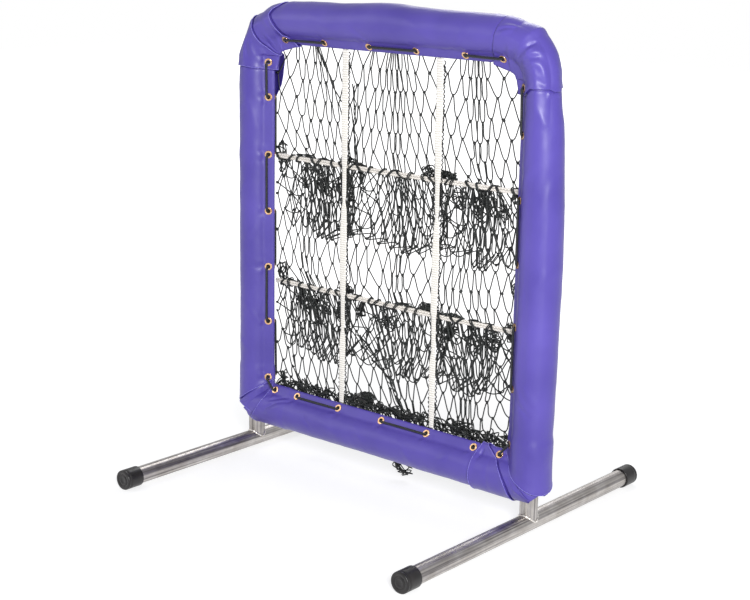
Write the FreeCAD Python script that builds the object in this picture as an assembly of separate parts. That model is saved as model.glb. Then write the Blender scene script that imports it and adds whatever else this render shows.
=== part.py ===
import FreeCAD, Part
import math
import os
from FreeCAD import Vector, Rotation, Placement

# Pitching target net: a padded steel hoop on two feet, with nine net pockets laced behind it.
# All lengths are millimetres. +X is the thrower's right, the target faces -Y and +Z is up.
# The origin is on the floor, at the middle of the space that the object takes up.

# Steel frame
tube_od = 34.9
tube_wall = 2.0
upright_spacing = 731.0
rail_rise = 837.5
bend_radius = 80.0
crossbar_over_foot = 78.3

# Feet
foot_front_length = 384.0
foot_back_length = 364.0
cap_od = 41.0
cap_length = 39.0
cap_end_wall = 5.0
cap_edge_fillet = 2.5
cap_floor_flat_depth = 0.6
post_clearance = 0.1
post_reach = 130.0
post_wall = 2.2
weld_height = 4.0
weld_leg = 4.5

# Padding and covers
pad_od = 75.0
cover_wall = 1.0
corner_cover_wall = 1.2
soft_clearance = 0.3
fin_reach = 53.0
fin_tip_radius = 3.0
fin_angle = 35.0
cover_overlap = 13.0
top_corner_reach = 36.0
bottom_corner_height = 90.0
bottom_corner_run = 115.0
corner_chamfer = 34.0
stub_hole_gap = 1.2
pad_bottom_over_foot = 52.0

# Grommets and lacing
grommet_od = 16.0
grommet_hole = 9.0
grommet_barrel_od = 11.0
grommet_flange = 1.0
side_grommet_count = 5
left_low_grommet = 272.0
right_low_grommet = 258.0
side_grommet_top_gap = 47.8
top_grommet_count = 4
top_grommet_slip = 10.0
bottom_grommet_count = 5
bottom_grommet_end_gap = 14.5
top_corner_grommet_from_bend = 12.0
bottom_corner_grommet_rise = 69.0
bottom_corner_grommet_run = 65.5
lace_od = 5.0
lace_gap = 0.5
lace_bend_radius = 5.0

# Ropes, straps and net
rope_od = 8.5
upper_rope_over_foot = 630.0
lower_rope_over_foot = 362.0
strap_width = 19.0
strap_thickness = 3.0
strap_from_middle = 120.0
net_thickness = 2.0
net_column_gap = 0.6
pocket_drop = 160.0
pocket_depth = 42.0
pocket_floor_gap = 4.2
pocket_lip_rise = 4.0
pocket_side_wall = 1.5

# A pouch's outline, as shares of its drop below the lip and of its depth
bulge_top_share = 0.35
bulge_low_share = 0.55
floor_back_share = 0.3
floor_front_share = 0.25
front_fall_share = 0.6
crossbar_leave_share = 0.45
crossbar_meet_share = 0.3

# Where a pouch's outline is taken across its width, and its share of depth and drop at its ends,
# where it is tied to a strap or laced to a cover
pouch_stations = (0.0, 0.18, 0.5, 0.82, 1.0)
pouch_end_depth_share = 0.6
pouch_end_drop_share = 0.82

# Derived places
foot_axis_z = cap_od / 2 - cap_floor_flat_depth
frame_y = (foot_front_length - foot_back_length) / 2
half_spacing = upright_spacing / 2
crossbar_z = foot_axis_z + crossbar_over_foot
rail_z = crossbar_z + rail_rise
bend_z = rail_z - bend_radius
bend_x = half_spacing - bend_radius
tube_r = tube_od / 2
pad_r = pad_od / 2
upright_foot_z = foot_axis_z + tube_r + weld_height
top_corner_low_z = bend_z - top_corner_reach
top_corner_end_x = bend_x - top_corner_reach
bottom_corner_top_z = crossbar_z + bottom_corner_height
bottom_corner_end_x = half_spacing - bottom_corner_run
left_low_grommet_z = foot_axis_z + left_low_grommet
right_low_grommet_z = foot_axis_z + right_low_grommet
side_grommet_rise = top_corner_low_z - side_grommet_top_gap - left_low_grommet_z
side_grommet_pitch = side_grommet_rise / (side_grommet_count - 1)
bottom_grommet_run = 2 * (bottom_corner_end_x - bottom_grommet_end_gap)
rail_grommet_pitch = bottom_grommet_run / (bottom_grommet_count - 1)
rope_levels = {
    "upper_rope": foot_axis_z + upper_rope_over_foot,
    "lower_rope": foot_axis_z + lower_rope_over_foot,
}

# The fin's flat bands: where one starts at the tip, and how far it runs back to the round pad
fin_lean = math.radians(fin_angle)
band_start = (
    fin_reach - fin_tip_radius + fin_tip_radius * math.sin(fin_lean),
    fin_tip_radius * math.cos(fin_lean),
)
along_band = band_start[0] * math.cos(fin_lean) - band_start[1] * math.sin(fin_lean)
band_length = along_band - math.sqrt(along_band ** 2 - math.hypot(*band_start) ** 2 + pad_r ** 2)
grommet_reach = band_start[0] - band_length / 2 * math.cos(fin_lean)
grommet_depth = band_start[1] + band_length / 2 * math.sin(fin_lean)
corner_cover_lift = soft_clearance + corner_cover_wall

# Places of the stretched pieces in depth, counted from the frame's middle plane
rope_depth = band_start[1] + rope_od / 2 + strap_thickness
strap_depth = rope_depth - rope_od / 2 - soft_clearance - strap_thickness / 2
net_front_depth = rope_depth + rope_od / 2 + soft_clearance


def place(x, y, z, turn_axis=Vector(0, 0, 1), turn=0.0):
    return Placement(Vector(x, y, z), Rotation(turn_axis, turn))


def placed(shape, placement):
    moved = shape.copy()
    moved.Placement = placement
    return moved


def mirrored(shape):
    return shape.mirror(Vector(0, 0, 0), Vector(1, 0, 0))


def disc(radius, centre, normal):
    return Part.Face(Part.Wire(Part.makeCircle(radius, centre, normal)))


def ring(outer_radius, inner_radius, centre, normal):
    return disc(outer_radius, centre, normal).cut(disc(inner_radius, centre, normal))


def cylinder(radius, start, end):
    direction = end - start
    return Part.makeCylinder(radius, direction.Length, start, direction)


def pipe(outer_radius, inner_radius, start, end):
    return cylinder(outer_radius, start, end).cut(cylinder(inner_radius, start, end))


def turned_quarter(face, centre):
    """Sweep a face from an upright into the top rail, round the left bend."""
    return face.revolve(centre, Vector(0, 1, 0), 90)


def pad_section(lift):
    """A round pad drawn out to a fin on +X, grown outwards by lift. It lies in the XY plane."""
    radius = pad_r + lift
    tip = fin_tip_radius + lift
    start = Vector(
        fin_reach - fin_tip_radius + tip * math.sin(fin_lean), tip * math.cos(fin_lean), 0
    )
    back = Vector(-math.cos(fin_lean), math.sin(fin_lean), 0)
    along = -start.dot(back)
    crease = start + back * (along - math.sqrt(along ** 2 - start.Length ** 2 + radius ** 2))
    nose = Vector(fin_reach - fin_tip_radius + tip, 0, 0)

    def flip(point):
        return Vector(point.x, -point.y, 0)

    side = Vector(-radius / math.sqrt(2), radius / math.sqrt(2), 0)
    rear = Vector(-radius, 0, 0)
    edges = [
        Part.LineSegment(start, crease),
        Part.Arc(crease, side, rear),
        Part.Arc(rear, flip(side), flip(crease)),
        Part.LineSegment(flip(crease), flip(start)),
        Part.Arc(flip(start), nose, start),
    ]
    return Part.Face(Part.Wire([edge.toShape() for edge in edges]))


def cover_section(lift, wall):
    return pad_section(lift).cut(pad_section(lift - wall))


def side_placements():
    """Each straight side's own frame: its +X points inwards and its +Z runs along the side."""
    across = Vector(0, 1, 0)
    return {
        "left": place(-half_spacing, frame_y, 0),
        "right": place(half_spacing, frame_y, 0, Vector(0, 0, 1), 180),
        "top": place(0, frame_y, rail_z, across, 90),
        "bottom": place(0, frame_y, crossbar_z, across, -90),
    }


def hoop():
    """The bent tube: two uprights and the top rail in one piece."""
    section = ring(
        tube_r, tube_r - tube_wall, Vector(-half_spacing, frame_y, bend_z), Vector(0, 0, 1)
    )
    centre = Vector(-bend_x, frame_y, bend_z)
    bend = turned_quarter(section, centre)
    upright = pipe(
        tube_r,
        tube_r - tube_wall,
        Vector(-half_spacing, frame_y, upright_foot_z),
        Vector(-half_spacing, frame_y, bend_z),
    )
    rail = pipe(
        tube_r, tube_r - tube_wall, Vector(-bend_x, frame_y, rail_z), Vector(bend_x, frame_y, rail_z)
    )
    left = upright.fuse(bend)
    return left.fuse([rail, mirrored(left)]).removeSplitter()


def crossbar():
    """The bottom tube, its ends coped to fit the uprights."""
    ends = [Vector(side * half_spacing, frame_y, crossbar_z) for side in (-1, 1)]
    bar = pipe(tube_r, tube_r - tube_wall, *ends)
    for end in ends:
        drop = Vector(0, 0, tube_od)
        bar = bar.cut(cylinder(tube_r, end - drop, end + drop))
    return bar


def foot_tube(side):
    x = side * half_spacing
    front = frame_y - foot_front_length + cap_end_wall
    back = frame_y + foot_back_length - cap_end_wall
    return pipe(
        tube_r, tube_r - tube_wall, Vector(x, front, foot_axis_z), Vector(x, back, foot_axis_z)
    )


def foot_cap(side, end):
    """A rubber cap pushed over the foot's end, with a small flat where it meets the floor."""
    x = side * half_spacing
    tip_y = frame_y - foot_front_length if end < 0 else frame_y + foot_back_length
    inward = Vector(0, -end, 0)
    tip = Vector(x, tip_y, foot_axis_z)
    body = cylinder(cap_od / 2, tip, tip + inward * cap_length)
    rim = [edge for edge in body.Edges if abs(edge.BoundBox.YMin - tip_y) < 1e-6
           and abs(edge.BoundBox.YMax - tip_y) < 1e-6]
    body = body.makeFillet(cap_edge_fillet, rim)
    body = body.cut(cylinder(tube_r, tip + inward * cap_end_wall, tip + inward * cap_length * 2))
    floor_block = Part.makeBox(cap_od, cap_length * 3, cap_od)
    floor_block.translate(Vector(x - cap_od / 2, tip_y - cap_length * 1.5, -cap_od))
    return body.cut(floor_block)


def foot_post(side):
    """The spigot on the foot that the upright drops over."""
    radius = tube_r - tube_wall - post_clearance
    x = side * half_spacing
    base = Vector(x, frame_y, foot_axis_z)
    post = pipe(radius, radius - post_wall, base, base + Vector(0, 0, tube_r + post_reach))
    return post.cut(cylinder(tube_r, base - Vector(0, tube_od, 0), base + Vector(0, tube_od, 0)))


def foot_weld(side):
    """The bead round the spigot, flat on top where the upright rests."""
    x = side * half_spacing
    base = Vector(x, frame_y, foot_axis_z)
    cone = Part.makeCone(tube_r + weld_leg, tube_r, weld_height + tube_r, base)
    spigot = cylinder(tube_r - tube_wall - post_clearance, base, base + Vector(0, 0, tube_od))
    foot = cylinder(tube_r, base - Vector(0, tube_od, 0), base + Vector(0, tube_od, 0))
    bead = cone.cut([spigot, foot])
    reach = Part.makeBox(tube_od * 2, tube_od * 2, tube_od)
    reach.translate(Vector(x - tube_od, frame_y - tube_od, foot_axis_z + tube_r / 2))
    return bead.common(reach)


def foam_radii():
    return pad_r - cover_wall - soft_clearance, tube_r + soft_clearance


def outer_corner_block(extra):
    """The space beyond the bottom left corner's slanting cut, moved inwards by extra."""
    reach = pad_r + corner_cover_lift
    corner = Placement(
        Vector(-half_spacing - reach, frame_y, crossbar_z - reach), Rotation(Vector(0, 1, 0), 45)
    )
    depth = corner_chamfer / math.sqrt(2) + extra
    block = Part.makeBox(
        pad_od * 2, pad_od * 2, pad_od, Vector(-pad_od, -pad_od, depth - pad_od)
    )
    return placed(block, corner)


def left_foam():
    """The upright's foam, rounded under and cut off inside the corner cover."""
    outer, inner = foam_radii()
    low = Vector(-half_spacing, frame_y, foot_axis_z + pad_bottom_over_foot)
    hub = Vector(-half_spacing, frame_y, crossbar_z)
    reach = Vector(upright_spacing / 2, 0, 0)
    upper = pipe(outer, inner, hub, Vector(-half_spacing, frame_y, bend_z))
    lower = pipe(outer, inner, low, hub).common(cylinder(outer, hub - reach, hub + reach))
    foam = upper.fuse(lower).cut(cylinder(inner, hub, hub + reach))
    return foam.cut(outer_corner_block(corner_cover_wall + soft_clearance)).removeSplitter()


def top_foam():
    outer, inner = foam_radii()
    return pipe(outer, inner, Vector(-bend_x, frame_y, rail_z), Vector(bend_x, frame_y, rail_z))


def bottom_foam():
    outer, inner = foam_radii()
    ends = [Vector(side * half_spacing, frame_y, crossbar_z) for side in (-1, 1)]
    foam = pipe(outer, inner, *ends)
    for end in ends:
        drop = Vector(0, 0, pad_od)
        foam = foam.cut(cylinder(outer + soft_clearance, end - drop, end + drop))
    return foam


def top_corner_foam():
    outer, inner = foam_radii()
    section = ring(outer, inner, Vector(-half_spacing, frame_y, bend_z), Vector(0, 0, 1))
    return turned_quarter(section, Vector(-bend_x, frame_y, bend_z))


def band_point(side_frame, along, face, lift):
    """The middle of a fin's band, and its outward direction. face is -1 at the front, 1 behind."""
    normal = Vector(math.sin(fin_lean), face * math.cos(fin_lean), 0)
    point = Vector(grommet_reach, face * grommet_depth, along) + normal * lift
    return side_frame.multVec(point), side_frame.Rotation.multVec(normal)


def grommet(side_frame, along, face, lift, wall):
    """A two-part brass eyelet: a barrel through the cover and a flange on each side of it."""
    outside, normal = band_point(side_frame, along, face, lift)
    inside = outside - normal * wall
    flange_top = outside + normal * grommet_flange
    flange_foot = inside - normal * grommet_flange
    body = cylinder(grommet_od / 2, outside, flange_top)
    body = body.fuse(cylinder(grommet_od / 2, flange_foot, inside))
    body = body.fuse(cylinder(grommet_barrel_od / 2, inside, outside))
    rims = [edge for edge in body.Edges if abs(edge.Length - math.pi * grommet_od) < 1e-6
            and (edge.CenterOfMass - flange_top).Length < 1e-6]
    body = body.makeFillet(grommet_flange * 0.6, rims)
    return body.cut(cylinder(grommet_hole / 2, flange_foot - normal, flange_top + normal))


def grommet_cutter(side_frame, along, face, lift, wall):
    outside, normal = band_point(side_frame, along, face, lift)
    return cylinder(grommet_barrel_od / 2, outside - normal * wall * 2, outside + normal * wall)


def spread(count, pitch, middle):
    return [middle + pitch * (index - (count - 1) / 2) for index in range(count)]


def straight_grommets():
    """Where each straight cover's grommets are, along that side's own +Z."""
    left_middle = left_low_grommet_z + side_grommet_rise / 2
    right_middle = right_low_grommet_z + side_grommet_rise / 2
    return {
        "left": spread(side_grommet_count, side_grommet_pitch, left_middle),
        "right": spread(side_grommet_count, side_grommet_pitch, right_middle),
        "top": spread(top_grommet_count, rail_grommet_pitch, top_grommet_slip),
        "bottom": spread(bottom_grommet_count, rail_grommet_pitch, 0.0),
    }


def corner_grommets():
    """Each corner cover's two grommets, as (side, place along that side's own +Z)."""
    top_z = bend_z - top_corner_grommet_from_bend
    top_x = bend_x - top_corner_grommet_from_bend
    low_z = crossbar_z + bottom_corner_grommet_rise
    low_x = half_spacing - bottom_corner_grommet_run
    return {
        "top_left": [("left", top_z), ("top", -top_x)],
        "top_right": [("right", top_z), ("top", top_x)],
        "bottom_left": [("left", low_z), ("bottom", low_x)],
        "bottom_right": [("right", low_z), ("bottom", -low_x)],
    }


def straight_cover(side_name, low, high):
    """One side's sleeve, pinched to a fin on the inside and pierced for its grommets."""
    frame = side_placements()[side_name]
    section = cover_section(0.0, cover_wall)
    section.translate(Vector(0, 0, low))
    sleeve = placed(section.extrude(Vector(0, 0, high - low)), frame)
    holes = [
        grommet_cutter(frame, along, face, 0.0, cover_wall)
        for along in straight_grommets()[side_name]
        for face in (-1, 1)
    ]
    return sleeve.cut(holes)


def pierced_corner(shape, corner_name):
    frames = side_placements()
    holes = [
        grommet_cutter(frames[side], along, face, corner_cover_lift, corner_cover_wall)
        for side, along in corner_grommets()[corner_name]
        for face in (-1, 1)
    ]
    return shape.cut(holes)


def top_corner_cover():
    """The left bend's own cover: a turned quarter with a straight skirt at each end."""
    frames = side_placements()
    section = cover_section(corner_cover_lift, corner_cover_wall)
    turn_start = placed(section, place(-half_spacing, frame_y, bend_z))
    bend = turned_quarter(turn_start, Vector(-bend_x, frame_y, bend_z))
    lower = section.copy()
    lower.translate(Vector(0, 0, top_corner_low_z))
    lower_skirt = placed(lower.extrude(Vector(0, 0, top_corner_reach)), frames["left"])
    upper = section.copy()
    upper.translate(Vector(0, 0, -bend_x))
    upper_skirt = placed(upper.extrude(Vector(0, 0, top_corner_reach)), frames["top"])
    return pierced_corner(bend.fuse([lower_skirt, upper_skirt]).removeSplitter(), "top_left")


def mitre_block(keep_upright):
    """The half of space above the corner's diagonal, or the half below it."""
    size = upright_spacing
    block = Part.makeBox(size * 2, size, size, Vector(-size, -size / 2, 0))
    tilt = Placement(
        Vector(-half_spacing, frame_y, crossbar_z), Rotation(Vector(0, 1, 0), -45)
    )
    if not keep_upright:
        block = Part.makeBox(size * 2, size, size, Vector(-size, -size / 2, -size))
    return placed(block, tilt)


def mitred_elbow(lift):
    """A solid mitred corner: the pad's section up the left upright and along the crossbar."""
    frames = side_placements()
    up = pad_section(lift)
    up.translate(Vector(0, 0, crossbar_z - pad_od))
    leg_up = placed(up.extrude(Vector(0, 0, bottom_corner_height + pad_od)), frames["left"])
    along = pad_section(lift)
    along.translate(Vector(0, 0, bottom_corner_end_x))
    leg_along = placed(along.extrude(Vector(0, 0, bottom_corner_run + pad_od)), frames["bottom"])
    return leg_up.common(mitre_block(True)).fuse(leg_along.common(mitre_block(False)))


def bottom_corner_cover():
    """The left mitred cover, its outer corner cut off and open below for the upright."""
    shell = mitred_elbow(corner_cover_lift).cut(mitred_elbow(soft_clearance))
    below = Vector(-half_spacing, frame_y, 0)
    hub = Vector(-half_spacing, frame_y, crossbar_z)
    stub_hole = cylinder(tube_r + stub_hole_gap, below, hub)
    return pierced_corner(shell.cut([outer_corner_block(0.0), stub_hole]), "bottom_left")


def side_grommet_solids(side_name):
    frame = side_placements()[side_name]
    return Part.makeCompound([
        grommet(frame, along, face, 0.0, cover_wall)
        for along in straight_grommets()[side_name]
        for face in (-1, 1)
    ])


def corner_grommet_solids():
    frames = side_placements()
    return Part.makeCompound([
        grommet(frames[side], along, face, corner_cover_lift, corner_cover_wall)
        for pair in corner_grommets().values()
        for side, along in pair
        for face in (-1, 1)
    ])


def lace_reach(on_corner):
    """How far in from the tube's axis the lace goes through: at the middle of a barrel."""
    middle = -cover_wall / 2
    if on_corner:
        middle = corner_cover_lift - corner_cover_wall / 2
    return grommet_reach + middle * math.sin(fin_lean)


def lace_stop(side_name, along, on_corner):
    """Where the lace passes a grommet: its place in the frame plane and its depth outside."""
    lift = corner_cover_lift if on_corner else 0.0
    stand = lift + grommet_flange + lace_gap + lace_od / 2
    depth = grommet_depth + stand / math.cos(fin_lean)
    point = side_placements()[side_name].multVec(Vector(lace_reach(on_corner), 0, along))
    return point.x, point.z, depth


def lace_stops():
    """The grommets that each lace passes, in its own order."""
    straight = straight_grommets()
    corner = corner_grommets()

    def stops(side, places, on_corner=False):
        return [lace_stop(side, along, on_corner) for along in places]

    def at_corner(name, index):
        side, along = corner[name][index]
        return stops(side, [along], True)

    return {
        "left_lace": at_corner("top_left", 0) + stops("left", reversed(straight["left"]))
        + at_corner("bottom_left", 0) + at_corner("bottom_left", 1),
        "bottom_lace": stops("bottom", reversed(straight["bottom"])),
        "right_lace": at_corner("bottom_right", 1) + at_corner("bottom_right", 0)
        + stops("right", straight["right"]) + at_corner("top_right", 0),
        "top_lace": at_corner("top_left", 1) + stops("top", straight["top"])
        + at_corner("top_right", 1),
    }


def rounded_path(points, radius):
    """Straight runs joined by tangent arcs of one radius."""
    edges = []
    start = points[0]
    for before, corner, after in zip(points, points[1:], points[2:]):
        into = (corner - before).normalize()
        away = (after - corner).normalize()
        half_turn = into.getAngle(away) / 2
        setback = radius * math.tan(half_turn)
        arc_start = corner - into * setback
        arc_end = corner + away * setback
        inwards = (away - into).normalize()
        arc_middle = corner + inwards * radius * (1 / math.cos(half_turn) - 1)
        edges.append(Part.LineSegment(start, arc_start).toShape())
        edges.append(Part.Arc(arc_start, arc_middle, arc_end).toShape())
        start = arc_end
    edges.append(Part.LineSegment(start, points[-1]).toShape())
    return Part.Wire(edges)


def lace(name, stops):
    """A cord that goes in and out of the grommets: along the front, then along the back."""
    points = []
    at_front = False
    for x, z, depth in stops:
        back = Vector(x, frame_y + depth, z)
        front = Vector(x, frame_y - depth, z)
        points += [front, back] if at_front else [back, front]
        at_front = not at_front
    path = rounded_path(points, lace_bend_radius)
    profile = Part.Wire(Part.makeCircle(lace_od / 2, points[0], points[1] - points[0]))
    cord = path.makePipeShell([profile], True, False)
    expected = math.pi * lace_od ** 2 / 4 * path.Length
    print(name, "bend radius", lace_bend_radius, "volume over section times length",
          round(cord.Volume / expected, 4))
    return cord


def rope(level):
    """A taut rope whose ends lie behind the tips of the side fins, short of the eyelets there."""
    flange_reach = grommet_od / 2 * math.cos(fin_lean) + grommet_flange * math.sin(fin_lean)
    half = half_spacing - grommet_reach - flange_reach - soft_clearance
    y = frame_y + rope_depth
    return cylinder(rope_od / 2, Vector(-half, y, level), Vector(half, y, level))


def strap(side):
    """A flat strap from the crossbar's fin to the top rail's fin, in front of the ropes."""
    low = crossbar_z + fin_reach + soft_clearance
    high = rail_z - fin_reach - soft_clearance
    corner = Vector(
        side * strap_from_middle - strap_width / 2,
        frame_y + strap_depth - strap_thickness / 2,
        low,
    )
    return Part.makeBox(strap_width, strap_thickness, high - low, corner)


def thick_line(points, thickness):
    """A bent strip in the YZ plane, as a closed face: each point pushed out along its normal."""
    pushed = []
    for index, point in enumerate(points):
        before = points[max(index - 1, 0)]
        after = points[min(index + 1, len(points) - 1)]
        normals = []
        for start, end in ((before, point), (point, after)):
            if (end - start).Length > 0:
                run = (end - start).normalize()
                normals.append(Vector(0, -run.z, run.y))
        middle = sum(normals[1:], normals[0]).normalize()
        pushed.append(point + middle * (thickness / middle.dot(normals[0])))
    loop = points + pushed[::-1] + points[:1]
    return Part.Face(Part.makePolygon(loop))


def pocket_outline(top, lip, behind_crossbar, swell):
    """The inside line of a pocket in the YZ plane, from its top edge down and round to its lip.

    The swell is 0 at the pocket's ends and 1 in its middle, where it is deepest and hangs lowest.
    """
    front_depth = net_front_depth + net_thickness
    lip_depth = net_front_depth + 2 * net_thickness + soft_clearance
    near = lip_depth
    low_limit = pocket_drop
    if behind_crossbar:
        lip_depth += lace_od / 2
        near = pad_r + corner_cover_lift + soft_clearance + net_thickness
        low_limit = lip - pocket_floor_gap - net_thickness
    depth = pocket_depth * (pouch_end_depth_share + (1 - pouch_end_depth_share) * swell)
    drop = low_limit * (pouch_end_drop_share + (1 - pouch_end_drop_share) * swell)
    far = near + depth
    panel_low = top - pocket_drop - net_thickness * 3
    inner = [
        (front_depth, top),
        (front_depth, panel_low),
        (far, lip + low_limit * bulge_top_share),
        (far + net_thickness, lip - drop * bulge_low_share),
        (far - depth * floor_back_share, lip - drop),
        (near + depth * floor_front_share, lip - drop),
    ]
    if behind_crossbar:
        inner.append((near, lip - drop * crossbar_leave_share))
        inner.append((near, lip - drop * crossbar_meet_share))
        inner.append((lip_depth, lip - lace_od / 2))
    else:
        inner.append((lip_depth, lip - drop * front_fall_share))
    inner.append((lip_depth, lip + pocket_lip_rise))
    return [Vector(0, frame_y + depth, z) for depth, z in inner]


def pocket(left_x, right_x, top, lip, behind_crossbar):
    """A net bag: a back panel, and below the lip a pouch that is open at the top and sags."""
    sections = []
    for share in pouch_stations:
        swell = math.sqrt(max(math.sin(math.pi * share), 0.0))
        line = pocket_outline(top, lip, behind_crossbar, swell)
        section = thick_line(line, -net_thickness).OuterWire
        section.translate(Vector(left_x + (right_x - left_x) * share, 0, 0))
        sections.append(section)
    skin = Part.makeLoft(sections, True, True)
    end_line = pocket_outline(top, lip, behind_crossbar, 0.0)[2:]
    pouch_side = Part.Face(Part.makePolygon(end_line + end_line[:1]))
    sides = []
    for start in (left_x, right_x - pocket_side_wall):
        side = pouch_side.extrude(Vector(pocket_side_wall, 0, 0))
        side.translate(Vector(start, 0, 0))
        sides.append(side)
    return skin.fuse(sides).removeSplitter()


def beyond_bend(side):
    """The space past a top bend where the corner's cover leaves no room for the net."""
    free_depth = net_front_depth - soft_clearance - corner_cover_lift / math.cos(fin_lean)
    reach = band_start[0] - (free_depth - band_start[1]) / math.tan(fin_lean)
    centre = Vector(side * bend_x, frame_y - pad_r, bend_z)
    block = Part.makeBox(bend_radius, pad_od * 2, bend_radius, centre)
    if side < 0:
        block.translate(Vector(-bend_radius, 0, 0))
    axis = Vector(0, 1, 0)
    return block.cut(Part.makeCylinder(bend_radius - reach, pad_od * 2, centre, axis))


def pockets():
    """Three rows of three pockets, named by row and column."""
    edge = half_spacing - lace_reach(True) - lace_od / 2 - 2 * soft_clearance
    gap = net_column_gap / 2
    columns = {
        "left": (-edge, -strap_from_middle - gap),
        "middle": (-strap_from_middle + gap, strap_from_middle - gap),
        "right": (strap_from_middle + gap, edge),
    }
    fin_top = rail_z - lace_reach(True) - lace_od / 2 - soft_clearance
    fin_low = crossbar_z + fin_reach
    upper = rope_levels["upper_rope"]
    lower = rope_levels["lower_rope"]
    rows = {
        "top": (fin_top, upper, False),
        "middle": (upper + pocket_lip_rise, lower, False),
        "bottom": (lower + pocket_lip_rise, fin_low, True),
    }
    nets = {
        f"{row}_{column}_pocket": pocket(*span, *levels)
        for row, levels in rows.items()
        for column, span in columns.items()
    }
    for column, side in (("left", -1), ("right", 1)):
        name = f"top_{column}_pocket"
        nets[name] = nets[name].cut(beyond_bend(side))
    return nets


def all_nodes():
    nodes = {"hoop": hoop(), "crossbar": crossbar()}
    for name, side in (("left", -1), ("right", 1)):
        nodes[f"{name}_foot_tube"] = foot_tube(side)
        nodes[f"{name}_foot_post"] = foot_post(side)
        nodes[f"{name}_foot_weld"] = foot_weld(side)
        nodes[f"{name}_front_cap"] = foot_cap(side, -1)
        nodes[f"{name}_back_cap"] = foot_cap(side, 1)
        nodes[f"{name}_strap"] = strap(side)
    nodes["left_foam"] = left_foam()
    nodes["right_foam"] = mirrored(nodes["left_foam"])
    nodes["top_foam"] = top_foam()
    nodes["bottom_foam"] = bottom_foam()
    nodes["top_left_foam"] = top_corner_foam()
    nodes["top_right_foam"] = mirrored(nodes["top_left_foam"])
    side_low = bottom_corner_top_z - cover_overlap
    side_high = top_corner_low_z + cover_overlap
    for name in ("left", "right"):
        nodes[f"{name}_cover"] = straight_cover(name, side_low, side_high)
    top_half = top_corner_end_x + cover_overlap
    nodes["top_cover"] = straight_cover("top", -top_half, top_half)
    bottom_half = bottom_corner_end_x + cover_overlap
    nodes["bottom_cover"] = straight_cover("bottom", -bottom_half, bottom_half)
    nodes["top_left_cover"] = top_corner_cover()
    nodes["top_right_cover"] = mirrored(nodes["top_left_cover"])
    nodes["bottom_left_cover"] = bottom_corner_cover()
    nodes["bottom_right_cover"] = mirrored(nodes["bottom_left_cover"])
    for name in ("left", "right", "top", "bottom"):
        nodes[f"{name}_grommets"] = side_grommet_solids(name)
    nodes["corner_grommets"] = corner_grommet_solids()
    for name, stops in lace_stops().items():
        nodes[name] = lace(name, stops)
    for name, level in rope_levels.items():
        nodes[name] = rope(level)
    nodes.update(pockets())
    return nodes


os.makedirs("parts", exist_ok=True)
for node_name, node_shape in all_nodes().items():
    box = node_shape.BoundBox
    print(node_name, node_shape.isValid(), len(node_shape.Solids), round(node_shape.Volume / 1000, 2),
          [round(value, 1) for value in (box.XMin, box.XMax, box.YMin, box.YMax, box.ZMin, box.ZMax)])
    node_shape.exportStep(f"parts/{node_name}.step")
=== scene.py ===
import math
import bpy
import numpy as np
from mathutils import Matrix


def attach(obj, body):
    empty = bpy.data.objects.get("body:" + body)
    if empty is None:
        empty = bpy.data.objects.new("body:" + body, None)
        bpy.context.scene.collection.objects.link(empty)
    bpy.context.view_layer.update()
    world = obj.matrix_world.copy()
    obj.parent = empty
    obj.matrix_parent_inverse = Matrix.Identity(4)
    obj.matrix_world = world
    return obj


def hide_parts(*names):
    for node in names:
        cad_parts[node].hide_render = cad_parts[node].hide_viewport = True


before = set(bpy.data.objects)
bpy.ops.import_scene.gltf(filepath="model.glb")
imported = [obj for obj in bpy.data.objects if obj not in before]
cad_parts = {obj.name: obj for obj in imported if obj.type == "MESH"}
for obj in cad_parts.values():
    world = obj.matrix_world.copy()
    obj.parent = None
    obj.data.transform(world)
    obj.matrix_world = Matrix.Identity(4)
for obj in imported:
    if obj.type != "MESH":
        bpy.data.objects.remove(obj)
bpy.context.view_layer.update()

# The dressed look of the pitching target net. Lengths are millimetres and turn to metres in add_piece.
MM = 0.001
BODY = "padded_frame"

# The steel frame's places
half_spacing = 365.5
frame_y = 10.0
crossbar_z = 98.2
rail_z = 935.7
bend_radius = 80.0
bend_x = half_spacing - bend_radius
bend_z = rail_z - bend_radius
bend_arc = bend_radius * math.pi / 2
tube_r = 17.45
foot_axis_z = 19.9
foot_front = 384.0
foot_back = 364.0
weld_height = 4.0
weld_bead_r = 2.1
saddle_share = 0.95

# The covers' section and ends
pad_r = 37.5
fin_reach = 53.0
fin_tip_radius = 3.0
fin_lean = math.radians(35.0)
corner_lift = 1.5
cover_wall = 1.2
bottom_corner_x = 250.5
open_end_cut = 46.0
stub_gap = 1.2
wide_stub_gap = 6.5
corner_draw = 14.0
edge_rise = 1.5
rise_run = 8.0
bead_r = 0.65
bead_proud = 0.1
row_pitch = 2.2
held_from = 46.0
held_run = 16.0
held_slack = 0.12
groove_depth = 2.2
groove_width = 3.2
pucker_height = 0.8
pucker_r = 17.0
pucker_width = 7.0
seat_r = 13.0
seat_drop = 0.25

# Grommets, as places along their sides, and the fin band that they sit on
side_pitch = 120.0
left_grommets = 291.9 + side_pitch * np.arange(5)
right_grommets = 277.9 + side_pitch * np.arange(5)
top_grommets = 10.0 + 118.0 * (np.arange(4) - 1.5)
bottom_grommets = 118.0 * (np.arange(5) - 2.0)
corner_top_z = bend_z - 12.0
corner_top_x = bend_x - 12.0
corner_low_z = crossbar_z + 69.0
corner_low_x = half_spacing - 65.5
band_inset = 9.84
band_depth = 8.45
half_wall = 0.5
corner_half_wall = 0.6
grommet_flange = 1.0
grommet_cut_r = 5.7
lace_r = 2.5
lace_gap = 0.5
lace_bend_r = 5.0

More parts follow.
